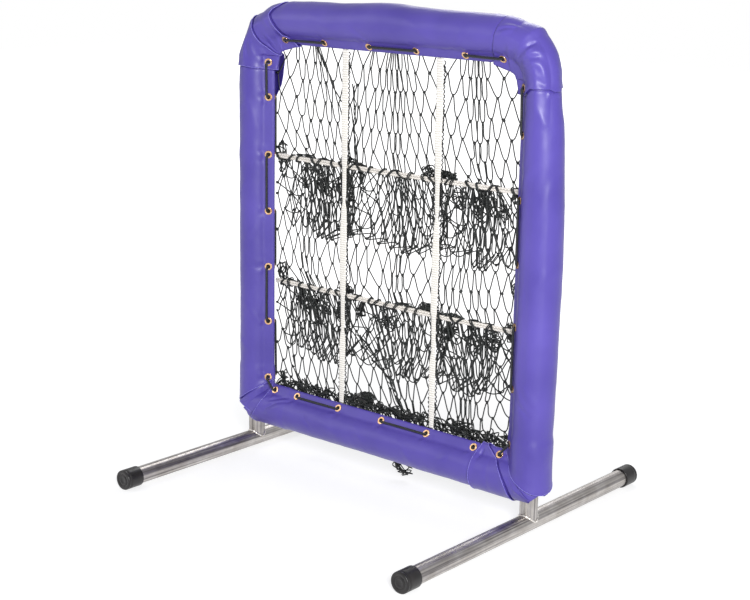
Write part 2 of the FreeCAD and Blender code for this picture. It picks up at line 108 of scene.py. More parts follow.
# Ropes, straps and net
rope_r = 4.25
rope_depth = 9.71
rope_flat = 1.24
rope_half = 314.9
upper_rope_z = 649.9
lower_rope_z = 381.9
strap_x = 120.0
strap_width = 19.0
strap_thickness = 3.0
strap_depth = 3.71
strap_low_z = crossbar_z + 53.3
strap_high_z = rail_z - 53.3
strap_tie_drop = 70.0
strap_rib = 2.4
strap_widths = [(151, 0.66), (285, 0.8), (302, 0.6), (311, 0.34), (322, 0.56), (380, 0.62), (386, 0.84),
                (505, 0.94), (560, 0.7), (578, 0.34), (592, 0.56), (648, 0.62), (654, 0.82), (890, 0.86)]
net_y = frame_y + 15.4
net_half = 317.0
bar_length = 41.5
twine_r = 1.3
knot_r = 3.3
net_meshes = 26
bag_drop = 158.0
bag_depth = 50.0
low_bag_drop = 108.0
low_bag_depth = 64.0
net_back = 86.0
net_from_pad = 6.0
net_from_floor = 7.0

# How the net is hung: steps, the speed that knots keep, their fall and their pull to their places
hang_steps = 420
carry = 0.88
fall_step = 0.35
guide_pull = 0.05


# Small tools for meshes

def unit(vectors):
    """Each vector divided by its length; a zero vector stays zero."""
    length = np.linalg.norm(vectors, axis=-1, keepdims=True)
    return vectors / np.maximum(length, 1e-9)


def grid_faces(rows, columns, closed=False):
    """Quads of a grid of points stored row after row, each row wrapped round where it is closed."""
    r, c = np.arange(rows - 1), np.arange(columns if closed else columns - 1)
    r, c = (a.ravel() for a in np.meshgrid(r, c, indexing="ij"))
    here, after = r * columns + c, r * columns + (c + 1) % columns
    return np.stack([here, after, after + columns, here + columns], axis=1)


def outward(points, faces, away):
    """The faces, turned round if they look inwards, judged by directions away from the core."""
    corner = points[faces[:, :3]]
    normals = np.cross(corner[:, 1] - corner[:, 0], corner[:, 2] - corner[:, 0])
    facing = (normals * away[faces[:, 0]]).sum()
    return faces[:, ::-1] if facing < 0 else faces


def skin(points, away, closed=True):
    """The points of a grid in one list, and its quads turned to look outwards."""
    rows, columns = points.shape[:2]
    points, away = points.reshape(-1, 3), np.reshape(away, (-1, 3))
    return points, outward(points, grid_faces(rows, columns, closed), away)


def link(name, data):
    """An object with this data, in the scene."""
    made = bpy.data.objects.new(name, data)
    bpy.context.scene.collection.objects.link(made)
    return made


def add_piece(name, points, face_sets, material, slot, body=BODY, replaces=(), uv=None):
    """A new object from points in millimetres and lists of faces, riding on its body."""
    mesh = bpy.data.meshes.new(name)
    faces = [face for face_set in face_sets for face in np.asarray(face_set).tolist()]
    mesh.from_pydata((np.asarray(points) * MM).tolist(), [], faces)
    mesh.polygons.foreach_set("use_smooth", np.ones(len(mesh.polygons), bool))
    if uv is not None:
        layer = mesh.uv_layers.new(name="UVMap")
        index = np.zeros(len(mesh.loops), np.int32)
        mesh.loops.foreach_get("vertex_index", index)
        layer.data.foreach_set("uv", np.asarray(uv, np.float32)[index].ravel())
    mesh.materials.append(material)
    mesh.update()
    piece = link(name, mesh)
    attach(piece, body)
    if replaces:
        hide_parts(*replaces)
    return piece


def add_padded(*piece, **extra):
    """A soft cover: a skin with its wall inwards from the surface."""
    cover = add_piece(*piece, **extra)
    solid = cover.modifiers.new("wall", "SOLIDIFY")
    solid.thickness = cover_wall * MM
    solid.offset = -1.0


def waves(points, length, seed):
    """Smooth noise from -1 to 1: the mean of seven sines with seeded directions and about one
    wavelength."""
    rng = np.random.default_rng(seed)
    directions = unit(rng.normal(size=(7, 3))) * 2 * np.pi / length
    directions *= rng.uniform(0.7, 1.4, (7, 1))
    phases = rng.uniform(0, 2 * np.pi, 7)
    return np.sin(points @ directions.T + phases).mean(axis=-1) * 1.6


def line_waves(places, length, seed):
    """The same noise along a line of places."""
    return waves(np.stack([places] * 3, axis=1), length, seed)


def tubes(paths, radius, sides):
    """Round tubes along many paths of equally many points: at each point a ring is set square to
    the path, with a sideways direction carried along from the path's start. Ends are closed."""
    paths = np.asarray(paths, float)
    count, steps = paths.shape[:2]
    tangents = unit(np.gradient(paths, axis=1))
    across = np.empty_like(paths)
    helper = np.where(np.abs(tangents[:, :1, 2:]) < 0.9, [[[0.0, 0.0, 1.0]]], [[[1.0, 0.0, 0.0]]])
    side = unit(np.cross(tangents[:, 0], helper[:, 0]))
    for step in range(steps):
        along = tangents[:, step]
        side = unit(side - along * (side * along).sum(-1, keepdims=True))
        across[:, step] = side
    over = np.cross(tangents, across)
    radius = np.broadcast_to(np.asarray(radius, float), (count, steps))[..., None, None]
    angle = np.arange(sides) * 2 * np.pi / sides
    ring = across[:, :, None] * np.cos(angle)[:, None] + over[:, :, None] * np.sin(angle)[:, None]
    points = (paths[:, :, None] + ring * radius).reshape(-1, 3)
    offset = (np.arange(count) * steps * sides)[:, None, None]
    quads = (grid_faces(steps, sides, closed=True)[None] + offset).reshape(-1, 4)
    quads = outward(points, quads, ring.reshape(-1, 3))
    first = offset[:, 0] + np.arange(sides)
    last = first + (steps - 1) * sides
    forward = quads[0][1] - quads[0][0] in (1, 1 - sides)
    caps = [first[:, ::-1], last] if forward else [first, last[:, ::-1]]
    return points, [quads, *caps]


def tube_uv(steps, sides, length, radius):
    """A UV in millimetres for one tube: round it, then along it."""
    along, round_it = np.meshgrid(
        np.linspace(0, length, steps), np.arange(sides) / sides * 2 * np.pi * radius, indexing="ij")
    return np.stack([round_it.ravel(), along.ravel()], axis=1)


def joined(parts):
    """Several (points, face sets) parts as one."""
    points, face_sets, start = [], [], 0
    for part_points, part_faces in parts:
        points.append(part_points)
        face_sets += [np.asarray(face_set) + start for face_set in part_faces]
        start += len(part_points)
    return np.concatenate(points), face_sets


def smooth_path(corners, steps):
    """A Catmull-Rom curve through the corners, read at equal steps of its length."""
    p = np.asarray(corners, float)
    p = np.concatenate([2 * p[:1] - p[1:2], p, 2 * p[-1:] - p[-2:-1]])
    t = np.linspace(0, 1, 24, endpoint=False)[:, None]
    a, b, c, d = (p[i:len(p) - 3 + i, None] for i in range(4))
    curve = 0.5 * (2 * b + (c - a) * t + (2 * a - 5 * b + 4 * c - d) * t**2
                   + (3 * b - a - 3 * c + d) * t**3)
    curve = np.concatenate([curve.reshape(-1, 3), p[-2:-1]])
    return even_steps(curve, steps)


def even_steps(path, steps):
    """The same line read at equal steps of its own length."""
    run = np.concatenate([[0], np.cumsum(np.linalg.norm(np.diff(path, axis=0), axis=1))])
    at = np.linspace(0, run[-1], steps)
    return np.stack([np.interp(at, run, path[:, axis]) for axis in range(3)], axis=1)


def path_length(path):
    return np.linalg.norm(np.diff(path, axis=0), axis=1).sum()


# Materials

def linear(hex_colour):
    """An sRGB hex colour as linear red, green, blue and alpha."""
    parts = [int(hex_colour[i:i + 2], 16) / 255 for i in (1, 3, 5)]
    return [c / 12.92 if c <= 0.04045 else ((c + 0.055) / 1.055) ** 2.4 for c in parts] + [1.0]


def node(tree, kind, links=(), **values):
    """Adds a node. Names of sockets take values; links are (input, source socket) pairs."""
    made = tree.nodes.new("ShaderNode" + kind)
    for key, value in values.items():
        if hasattr(made, key):
            setattr(made, key, value)
        else:
            made.inputs[key.replace("_", " ")].default_value = value
    for key, source in links:
        tree.links.new(source, made.inputs[key])
    return made


def new_material(name, **shader):
    """A material with its Principled shader's own constant values set."""
    material = bpy.data.materials.new(name)
    material.use_nodes = True
    principled = material.node_tree.nodes["Principled BSDF"]
    for key, value in shader.items():
        principled.inputs[key.replace("_", " ")].default_value = value
    return material, material.node_tree, principled


def ramp(tree, source, stops):
    """A colour ramp through (place, hex colour) stops."""
    made = node(tree, "ValToRGB", [("Fac", source)])
    elements = made.color_ramp.elements
    for index, (place, colour) in enumerate(stops):
        element = elements[index] if index < 2 else elements.new(place)
        element.position = place
        element.color = linear(colour)
    return made.outputs["Color"]


def bump(tree, height, distance_mm, strength=1.0, under=None):
    """A bump whose full height is a real distance, on top of another normal if there is one."""
    links = [("Height", height)]
    if under is not None:
        links.append(("Normal", under))
    made = node(tree, "Bump", links, Strength=strength, Distance=distance_mm * MM)
    return made.outputs["Normal"]


def noise(tree, scale, detail, vector=None):
    """Noise over the object's own coordinates, or over another vector."""
    if vector is None:
        vector = node(tree, "TexCoord").outputs["Object"]
    return node(tree, "TexNoise", [("Vector", vector)], Scale=scale, Detail=detail).outputs["Fac"]


def times(tree, source, factor):
    """A value times a constant."""
    made = node(tree, "Math", [(0, source)], operation="MULTIPLY")
    made.inputs[1].default_value = factor
    return made.outputs[0]


def clouded(name, scale, detail, stops, bumps=(), **shader):
    """A material whose colour follows one noise. bumps are (scale, detail, height in mm, strength)
    of the noises that raise its surface, one on top of the other."""
    material, tree, principled = new_material(name, **shader)
    tree.links.new(ramp(tree, noise(tree, scale, detail), stops), principled.inputs["Base Color"])
    normal = None
    for bump_scale, bump_detail, height, strength in bumps:
        normal = bump(tree, noise(tree, bump_scale, bump_detail), height, strength, normal)
    if normal is not None:
        tree.links.new(normal, principled.inputs["Normal"])
    return material


def vinyl():
    """Vinyl-coated polyester: calendered film on woven scrim. It gives a soft satin sheen, a faint
    pebble grain of about a millimetre and slow changes of shade where it was stretched."""
    return clouded("vinyl_coated_polyester", 7.0, 3.0, [(0.3, "#4A3D99"), (0.7, "#5A4CAC")],
                   [(38.0, 3.0, 1.2, 0.35), (900.0, 2.0, 0.12, 0.5)],
                   Roughness=0.43, IOR=1.5, Coat_Weight=0.12, Coat_Roughness=0.3)


def vinyl_edge_highlight():
    """The rolled edge of the same vinyl, coloured lighter than the cover: a painted highlight that stands
    in for the thin line of light along the edge.
    """
    return clouded("vinyl_edge_painted_highlight", 260.0, 2.0, [(0.35, "#7369C9"), (0.65, "#9389DE")],
                   Roughness=0.36, IOR=1.5)


def galvanised(name, stretch):
    """Galvanised steel tube, drawn and dipped: dull zinc patches, and long streaks in its colour that are
    partly drawing marks and partly painted reflection, dark and bright bands along the tube. stretch is
    the scale of the streaks in each direction."""
    material, tree, shader = new_material(name, Metallic=1.0, Roughness=0.3)
    place = node(tree, "TexCoord").outputs["Object"]
    drawn = node(tree, "Mapping", [("Vector", place)], Scale=stretch)
    drawn_marks_and_reflection_streaks = noise(tree, 1.0, 4.0, drawn.outputs["Vector"])
    spangle = node(tree, "TexVoronoi", [("Vector", place)], Scale=170.0)
    # The colour streaks along the tube are partly drawing marks and partly painted reflection bands.
    colour = ramp(tree, drawn_marks_and_reflection_streaks, [(0.3, "#767274"), (0.47, "#ACA8A7"), (0.6, "#CFCBC6"), (0.72, "#959090")])
    tint = ramp(tree, noise(tree, 30.0, 3.0), [(0.35, "#CFCBC6"), (0.65, "#FFFFFF")])
    mixed = node(tree, "Mix", data_type="RGBA", blend_type="MULTIPLY")
    mixed.inputs["Factor"].default_value = 0.6
    dull = node(tree, "MapRange", [("Value", spangle.outputs["Distance"])], To_Min=0.34, To_Max=0.5)
    for source, socket in (
            (colour, mixed.inputs["A"]), (tint, mixed.inputs["B"]),
            (mixed.outputs["Result"], shader.inputs["Base Color"]),
            (dull.outputs["Result"], shader.inputs["Roughness"]),
            (bump(tree, drawn_marks_and_reflection_streaks, 0.15, 0.5), shader.inputs["Normal"])):
        tree.links.new(source, socket)
    return material


def weld_metal():
    """A steel weld bead left as laid: bright, rippled and a little heat-tinted."""
    return clouded("weld_bead_steel", 120.0, 3.0, [(0.3, "#B4ACA4"), (0.55, "#EFECE8"), (0.7, "#DCCABD")],
                   [(120.0, 3.0, 0.3, 0.6)], Metallic=1.0, Roughness=0.3)


def rubber():
    """Moulded black rubber: a satin face with a dusty bloom and fine scuffs."""
    return clouded("moulded_black_rubber", 60.0, 4.0, [(0.35, "#0D0B0C"), (0.7, "#1E1A1B")],
                   [(900.0, 2.0, 0.1, 0.5)], Roughness=0.4, IOR=1.5)


def brass():
    """Rolled and polished brass eyelets: warm and bright, with small tarnish clouds."""
    return clouded("polished_brass", 350.0, 3.0, [(0.3, "#A87448"), (0.52, "#E3B98C"), (0.75, "#FBE3C4")],
                   [(350.0, 3.0, 0.08, 0.4)], Metallic=1.0, Roughness=0.26)


def braided(name, low, high, pitch, roughness, height):
    """Braided cord: two sets of strands that cross as diamonds round and along the cord, from a UV
    in millimetres. Its colour is darker in the grooves between the strands: painted shade. pitch is the
    length of one diamond."""
    material, tree, shader = new_material(name, Roughness=roughness, Sheen_Weight=0.05)
    split = node(tree, "SeparateXYZ", [("Vector", node(tree, "TexCoord").outputs["UV"])])
    turn = 2 * math.pi / pitch
    parts = []
    for sign in (1.0, -1.0):
        tilted = times(tree, split.outputs["X"], sign * turn)
        along = node(tree, "Math", [(0, split.outputs["Y"]), (2, tilted)], operation="MULTIPLY_ADD")
        along.inputs[1].default_value = turn
        parts.append(node(tree, "Math", [(0, along.outputs[0])], operation="SINE").outputs[0])
    weave = node(tree, "Math", [(0, parts[0]), (1, parts[1])], operation="MAXIMUM")
    shade = node(tree, "MapRange", [("Value", weave.outputs[0])], From_Min=-0.6, From_Max=1.0)
    # Darker in the grooves between the strands: painted shade.
    colour = ramp(tree, shade.outputs["Result"], [(0.1, low), (0.8, high)])
    tree.links.new(colour, shader.inputs["Base Color"])
    tree.links.new(bump(tree, shade.outputs["Result"], height), shader.inputs["Normal"])
    return material


def webbing():
    """Woven polyester webbing: ribs across it, with the ground between them painted a little darker as shade.
    """
    material, tree, shader = new_material("woven_polyester_webbing", Roughness=0.7, Sheen_Weight=0.2)
    place = node(tree, "TexCoord").outputs["Object"]
    rib = node(tree, "TexWave", [("Vector", place)], bands_direction="Z",
               Scale=1000 / strap_rib / 6.283, Distortion=0.6).outputs["Fac"]
    # Darker in the ground between the ribs: painted shade.
    colour = ramp(tree, rib, [(0.1, "#DED9CF"), (0.6, "#F8F5EF")])
    tree.links.new(colour, shader.inputs["Base Color"])
    yarn = bump(tree, noise(tree, 1400.0, 2.0), 0.15, 0.6, bump(tree, rib, 0.4))
    tree.links.new(yarn, shader.inputs["Normal"])
    return material


def twine():
    """Twisted polyethylene twine, tarred black: hard, a little shiny and greenish where worn."""
    return clouded("tarred_twisted_twine", 45.0, 3.0, [(0.35, "#0E1011"), (0.7, "#1F2422")],
                   [(1100.0, 1.0, 0.3, 0.8)], Roughness=0.45, IOR=1.5)


# The covers

def fin_section(count=132):
    """The covers' closed outline round the tube, as (inward, depth) pairs: the pad's circle, two
    straight bands that lean back to it and the small arc at the fin's tip, read at equal steps of
    length from the rear, round the front to the tip and back behind, and softened at its creases."""
    hub = fin_reach - fin_tip_radius
    start = np.array([hub + fin_tip_radius * math.sin(fin_lean), fin_tip_radius * math.cos(fin_lean)])
    back = np.array([-math.cos(fin_lean), math.sin(fin_lean)])
    along = -start @ back
    crease = start + back * (along - math.sqrt(along**2 - start @ start + pad_r**2))
    tip_turn = np.linspace(0, math.pi / 2 - fin_lean, 9)[:, None]
    tip_arc = np.array([hub, 0]) + fin_tip_radius * np.hstack([np.cos(tip_turn), np.sin(tip_turn)])
    pad_turn = np.linspace(math.atan2(crease[1], crease[0]), math.pi, 60)[:, None]
    pad_arc = pad_r * np.hstack([np.cos(pad_turn), np.sin(pad_turn)])
    behind = np.vstack([tip_arc, pad_arc])
    outline = np.vstack([behind[::-1] * [1, -1], behind[1:]])
    run = np.concatenate([[0], np.cumsum(np.linalg.norm(np.diff(outline, axis=0), axis=1))])
    at = np.arange(count) / count * run[-1]
    line = np.stack([np.interp(at, run, outline[:, axis]) for axis in range(2)], axis=1)
    for _ in range(2):
        line = 0.25 * np.roll(line, 1, 0) + 0.5 * line + 0.25 * np.roll(line, -1, 0)
    tangent = np.roll(line, -1, 0) - np.roll(line, 1, 0)
    normal = unit(np.stack([tangent[:, 1], -tangent[:, 0]], axis=1))
    if (normal * line).sum() < 0:
        normal = -normal
    return line, normal, at


def band_places():
    """Where the middles of the front and back bands are along the section's outline."""
    line, _, at = fin_section()
    off = np.abs(line[:, 0] - (fin_reach - band_inset))
    return at[np.argmin(off + 99 * (line[:, 1] > 0))], at[np.argmin(off + 99 * (line[:, 1] < 0))]


# Maps to a place from (inward from the tube's axis, depth behind it, distance along its side)

def on_left(inward, depth, along):
    return np.stack([inward - half_spacing, depth + frame_y, along], axis=-1)


def on_right(inward, depth, along):
    return np.stack([half_spacing - inward, depth + frame_y, along], axis=-1)


def on_bottom(inward, depth, along):
    return np.stack([along, depth + frame_y, crossbar_z + inward], axis=-1)


def on_bend(side):
    """A map from (inward, depth, along) to a top corner. Its centre line is straight up to along 0,
    where the bend starts, then a quarter turn, then straight again along the rail."""
    def place(inward, depth, along):
        turn = np.clip(along / bend_arc, 0, 1) * math.pi / 2
        x = -bend_x - bend_radius * np.cos(turn) + np.maximum(along - bend_arc, 0)
        z = bend_z + bend_radius * np.sin(turn) + np.minimum(along, 0)
        way = np.stack([-side * np.cos(turn), np.zeros_like(turn), -np.sin(turn)], axis=-1)
        centre = np.stack([-side * x, np.full_like(x, frame_y), z], axis=-1)
        return centre + way * inward[..., None] + np.array([0.0, 1.0, 0.0]) * depth[..., None]
    return place


def ease(value, low, high):
    """A smooth step from 0 at low to 1 at high."""
    share = np.clip((value - low) / (high - low), 0, 1)
    return share * share * (3 - 2 * share)


def fold(around, along, start, end, width, height):
    """A ridge, or a furrow where height is negative, along a line on the cover: it fades with the
    square of the distance from the line and thins out towards both of the line's ends. Lines are
    given as (millimetres round the outline, millimetres along the cover)."""
    start, end = np.array(start, float), np.array(end, float)
    run = end - start
    share = ((around - start[0]) * run[0] + (along - start[1]) * run[1]) / (run @ run)
    held = np.clip(share, 0, 1)
    away = np.hypot(around - start[0] - held * run[0], along - start[1] - held * run[1])
    return height * np.exp(-(away / width) ** 2) * (0.25 + 0.75 * np.sin(np.pi * held) ** 0.6)


def pucker(across, along, phase):
    """Small folds that run out like rays from a grommet, strongest just outside its ring."""
    away = np.hypot(across, along)
    rays = np.cos(5 * np.arctan2(along, across) + phase)
    return pucker_height * rays * np.exp(-((away - pucker_r) / pucker_width) ** 2)


def edge_bead(name, ring, away, material):
    """The rolled edge of a cover: a thin tube that follows its end ring, standing a little proud."""
    path = ring + unit(away) * bead_proud
    points, faces = tubes(np.vstack([path, path[:1]])[None], bead_r, 7)
    add_piece(name, points, faces, material, "vinyl")


def sleeve(name, place, low, high, cloth, lift=0.0, folds=(), grommets=(), slack=1.15, seed=0,
           over=(), rolled=True, grooves=(), press=None, draw=None, replaces=()):
    """One cover: the fin outline carried along its side between two ends, which may each slant as
    a function of (inward, depth). It is pushed out along its own normals by slow waves of slack, by
    folds, by the pucker round each grommet and, on its outer side, by press, and lies flat where a
    grommet sits. draw moves the fin further in. An end named in over lies on the next cover: it
    stands up there, and has a bead if it is rolled. grooves are edges of other covers that press
    into this one. Holes are left for the grommets."""
    line, normal, at = fin_section()
    inward, depth = line.T
    starts = low(inward, depth) if callable(low) else np.full(len(at), float(low))
    ends = high(inward, depth) if callable(high) else np.full(len(at), float(high))
    rows = max(8, int(np.abs(ends - starts).max() / row_pitch))
    along = starts + (ends - starts) * np.linspace(0, 1, rows)[:, None]
    inward, depth, around = (np.broadcast_to(a, along.shape) for a in (inward, depth, at))
    raised = lift(along) if callable(lift) else np.full(along.shape, float(lift))
    flat = place(inward, depth, along)
    free = np.clip((held_from - inward) / held_run, held_slack, 1)
    shake = sum(share * waves(flat, length, seed + step)
                for step, (share, length) in enumerate([(0.5, 170), (0.32, 62), (0.18, 27)]))
    out = raised + free * slack * shake
    for start, end, width, height in folds:
        out = out + fold(around, along, start, end, width, height)
    for edge in grooves:
        out = out - groove_depth * np.exp(-((along - edge(inward, depth)) / groove_width) ** 2)
    rise = edge_rise * (0.3 + 0.7 * ease(inward, -34, -12))
    for end, edge in (("low", starts), ("high", ends)):
        if end in over:
            out = out + rise * np.exp(-((along - edge) / rise_run) ** 2)
    if press is not None:
        out = out + press(along) * np.clip(-inward / (0.76 * pad_r), 0, 1)
    spots = [(band, spot) for spot in grommets for band in band_places()]
    for number, (band, spot) in enumerate(spots):
        out = out + free * pucker(around - band, along - spot, seed + 2.1 * number)
        seat = np.exp(-(np.hypot(around - band, along - spot) / seat_r) ** 4)
        out = out + (np.minimum(raised, corner_lift) - seat_drop - out) * seat
    shift = draw(inward, along) if draw is not None else 0.0
    grid = place(inward + normal[:, 0] * out + shift, depth + normal[:, 1] * out, along)
    away = place(inward + normal[:, 0], depth + normal[:, 1], along) - flat
    points, faces = skin(grid, away)
    middle_around, middle_along = (a.ravel()[faces].mean(axis=1) for a in (around, along))
    keep = np.ones(len(faces), bool)
    for band, spot in spots:
        keep &= np.hypot(middle_around - band, middle_along - spot) > grommet_cut_r
    film, edge_highlight_film = cloth
    add_padded(name, points, [faces[keep]], film, "vinyl", replaces=replaces)
    # Rolled ends get a bead in the lighter edge vinyl: a painted highlight along the edge.
    for end in over if rolled else ():
        row = 0 if end == "low" else -1
        edge_bead(f"rolled_edge_{name[6:]}_{end}", grid[row], away[row], edge_highlight_film)


# Edges of the covers, as places along their sides for each (inward, depth)

def diagonal(inward):
    """How far from its corner a lower cover ends, on the mitre between the two sides; on the outer
    side the corner is left open for the foot's stub."""
    return np.maximum(inward, -open_end_cut - inward)


def moved(edge, by):
    """The same edge further along its side."""
    return lambda inward, depth: edge(inward, depth) + by


def past_stub(inward, depth, end, gap=stub_gap):
    """The same end kept clear of the stub that comes through below."""
    hole_r = tube_r + gap
    stub = np.sqrt(np.maximum(hole_r**2 - depth**2, 0))
    return np.where((inward < 0) & (np.abs(depth) < hole_r), np.maximum(end, stub), end)


def left_cover_hem(inward, depth):
    return np.maximum(124.5 + 0.75 * inward, 108.0)


def left_leg_foot(inward, depth):
    return np.maximum(crossbar_z - 0.3 * inward - 0.02 * np.maximum(inward, 0) ** 2, 72.0)


def crossbar_left_end(inward, depth):
    end = 34 + 0.75 * inward - 0.0075 * inward**2 + 14 * ease(-inward, 22, 34)
    return past_stub(inward, depth, end) - half_spacing


def left_corner_end(inward, depth):
    """The piece under the crossbar's cover ends on the mitre, then slants back to the stub below."""
    slant = np.minimum(-12.0 - 1.2 * inward, 3.0)
    return past_stub(inward, depth, np.maximum(inward, slant)) - half_spacing


def right_cover_hem(inward, depth):
    return np.maximum(112 + 0.62 * inward + 0.2 * depth, crossbar_z + diagonal(inward))


def right_leg_foot(inward, depth):
    return crossbar_z + diagonal(inward)


def right_corner_end(inward, depth):
    return half_spacing - past_stub(inward, depth, diagonal(inward), wide_stub_gap)


def right_patch_end(inward, depth):
    return half_spacing - (32.9 + 0.61 * inward + 0.012 * inward**2)


def left_bend_hem(inward, depth):
    return -20 - 0.12 * np.maximum(inward, 0)


def left_bend_seam(inward, depth):
    return np.interp(inward, [-38, -10, 3, 20, 32, 44, 60], [66, 70, 64, 54, 44, 34, 26])


def left_bend_edge(inward, depth):
    return np.interp(inward, [-38, -24, -8, 8, 33, 42, 53], [133, 121, 117, 127, 145, 158, 170])


def right_bend_hem(inward, depth):
    return -9 - 16 * ease(inward, 8, 36) - 5 * ease(-inward, 26, 37)


def right_bend_edge(inward, depth):
    return np.interp(inward, [-38, -12, 12, 35, 43, 53], [132, 136, 141, 153, 160, 164])


# How far each top corner is pressed in on its outer side, as (along the bend, mm)

left_press = [(-60, -1.8), (0, -3.6), (22, -11.5), (42, -15.5), (63, -8.0), (84, -14.5), (106, -10.5),
              (126, -8.0), (150, -4.0), (200, -2.0), (260, -0.6)]
right_press = [(-620, 3.0), (-480, 5.5), (-330, 6.0), (-220, 4.0), (-130, 0.5), (-70, -3.6), (-44, -8.5),
               (8, -14.5), (24, -13.0), (46, -10.0), (70, -8.5), (80, -4.5), (104, -10.5), (128, -5.0),
               (160, -1.0)]
rail_bulge = 6.0


def pressed(stations, shift=0.0, sign=1.0):
    """The press through some stations, for a side whose own places start at shift."""
    places, depths = np.array(stations).T
    return lambda along: np.interp(sign * (along - shift), places, depths)


def drawn_in(inward, along):
    """How far a bend's fin is drawn in towards the middle of the bend: all of its band within the
    bend, and only its tip beside the corner's grommets."""
    near = ease(along, -60, 12) * (1 - ease(along, bend_arc - 12, bend_arc + 60))
    within = ease(along, 0, 14) * (1 - ease(along, bend_arc - 14, bend_arc))
    return corner_draw * near * (within * ease(inward, 22, 52) + (1 - within) * ease(inward, 47, 53))


def make_side_covers(cloth):
    """The two uprights' covers and, under their lower ends, the corners' legs."""
    front, _ = band_places()

    def raised_below(level, drop):
        return lambda along: corner_lift * ease(level - along, 0, drop)

    sleeve("vinyl_left_side", on_left, left_cover_hem, bend_z - 8, cloth, raised_below(200, 18), [
        ((front - 52, 330), (front - 20, 292), 7, 1.5), ((40, 560), (70, 600), 9, 1.5),
        ((front - 55, 470), (front - 25, 500), 8, 1.2), ((42, 742), (70, 770), 8, 1.6),
        ((front - 60, 800), (front - 24, 700), 9, 1.8), ((40, 250), (74, 225), 8, 1.4),
        ((36, 640), (60, 690), 10, 1.2), ((front - 48, 420), (front - 16, 406), 6, -1.2)],
        [corner_low_z, *left_grommets], seed=11, over=("low",), press=pressed(left_press, bend_z),
        grooves=[moved(left_bend_hem, bend_z)],
        replaces=("left_cover", "left_foam"))
    sleeve("vinyl_left_leg", on_left, left_leg_foot, moved(left_cover_hem, 12), cloth, -0.4,
           [((70, 118), (46, 104), 4, -1.4)], slack=0.7, seed=51, over=("low",), grooves=[left_cover_hem])
    sleeve("vinyl_right_side", on_right, right_cover_hem, bend_z - 1, cloth, raised_below(200, 18), [
        ((front - 60, 250), (front - 35, 310), 8, 1.8), ((40, 236), (66, 262), 6, -1.8),
        ((30, 262), (62, 300), 8, 1.6), ((front - 58, 500), (front - 30, 440), 10, 1.4),
        ((20, 520), (52, 470), 12, 1.4), ((front - 66, 720), (front - 20, 660), 9, 1.3),
        ((16, 700), (50, 650), 10, -1.2), ((29, 846), (31, 832), 4, 2.0), ((18, 842), (29, 834), 3, 1.8),
        ((60, 820), (34, 780), 8, 1.5), ((10, 150), (46, 190), 12, 1.4)],
        [corner_low_z, *right_grommets], seed=23, over=("low",), press=pressed(right_press, bend_z),
        grooves=[moved(right_bend_hem, bend_z)],
        replaces=("right_cover", "right_foam"))
    sleeve("vinyl_right_leg", on_right, right_leg_foot, moved(right_cover_hem, 12), cloth, 0.4,
           slack=0.6, seed=53, grooves=[right_cover_hem])


def make_low_covers(cloth):
    """The crossbar's cover and the pieces at its two corners."""
    front, _ = band_places()
    sleeve("vinyl_crossbar", on_bottom, crossbar_left_end, bottom_corner_x + 13, cloth,
           lambda along: corner_lift * ease(-along, bottom_corner_x + 1, bottom_corner_x + 16), [
        ((64, -309), (85, -278), 3.2, -1.9), ((85, -278), (96, -246), 3.0, -1.7),
        ((58, -300), (80, -266), 5, 1.4), ((84, -303), (105, -258), 3.4, -1.9),
        ((100, -309), (84, -322), 3.4, -1.8), ((front - 40, -150), (front - 58, -90), 9, 1.5),
        ((front - 28, -60), (front - 60, -20), 8, 1.3), ((front - 30, 60), (front - 70, 105), 9, 1.4),
        ((front - 30, 190), (front - 66, 160), 8, 1.5), ((front - 34, -200), (front - 62, -170), 6, -1.2)],
        [-corner_low_x, *bottom_grommets], seed=43, over=("low",),
        grooves=[lambda inward, depth: bottom_corner_x - 2 + 0 * inward],
        replaces=("bottom_cover", "bottom_foam"))
    sleeve("vinyl_bottom_left_corner", on_bottom, left_corner_end, 56 - half_spacing, cloth, -0.4,
           slack=0.4, seed=55, grooves=[crossbar_left_end], replaces=("bottom_left_cover",))
    sleeve("vinyl_bottom_right_corner", on_bottom, moved(right_patch_end, -12), right_corner_end, cloth,
           corner_lift, [((60, 345), (44, 372), 4, 1.6), ((72, 338), (54, 352), 3, -1.2)], [corner_low_x],
           slack=0.6, seed=57, grooves=[right_patch_end], replaces=("bottom_right_cover",))
    sleeve("vinyl_bottom_right_patch", on_bottom,
           lambda inward, depth: bottom_corner_x - 2 + 6 * ease(inward, 36, 52), right_patch_end, cloth,
           corner_lift + 1.1, [((front + 4, 262), (front - 24, 258), 3.5, -2.4),
                               ((front - 20, 286), (front - 84, 292), 6, -1.0)],
           slack=0.7, seed=59, over=("low", "high"))


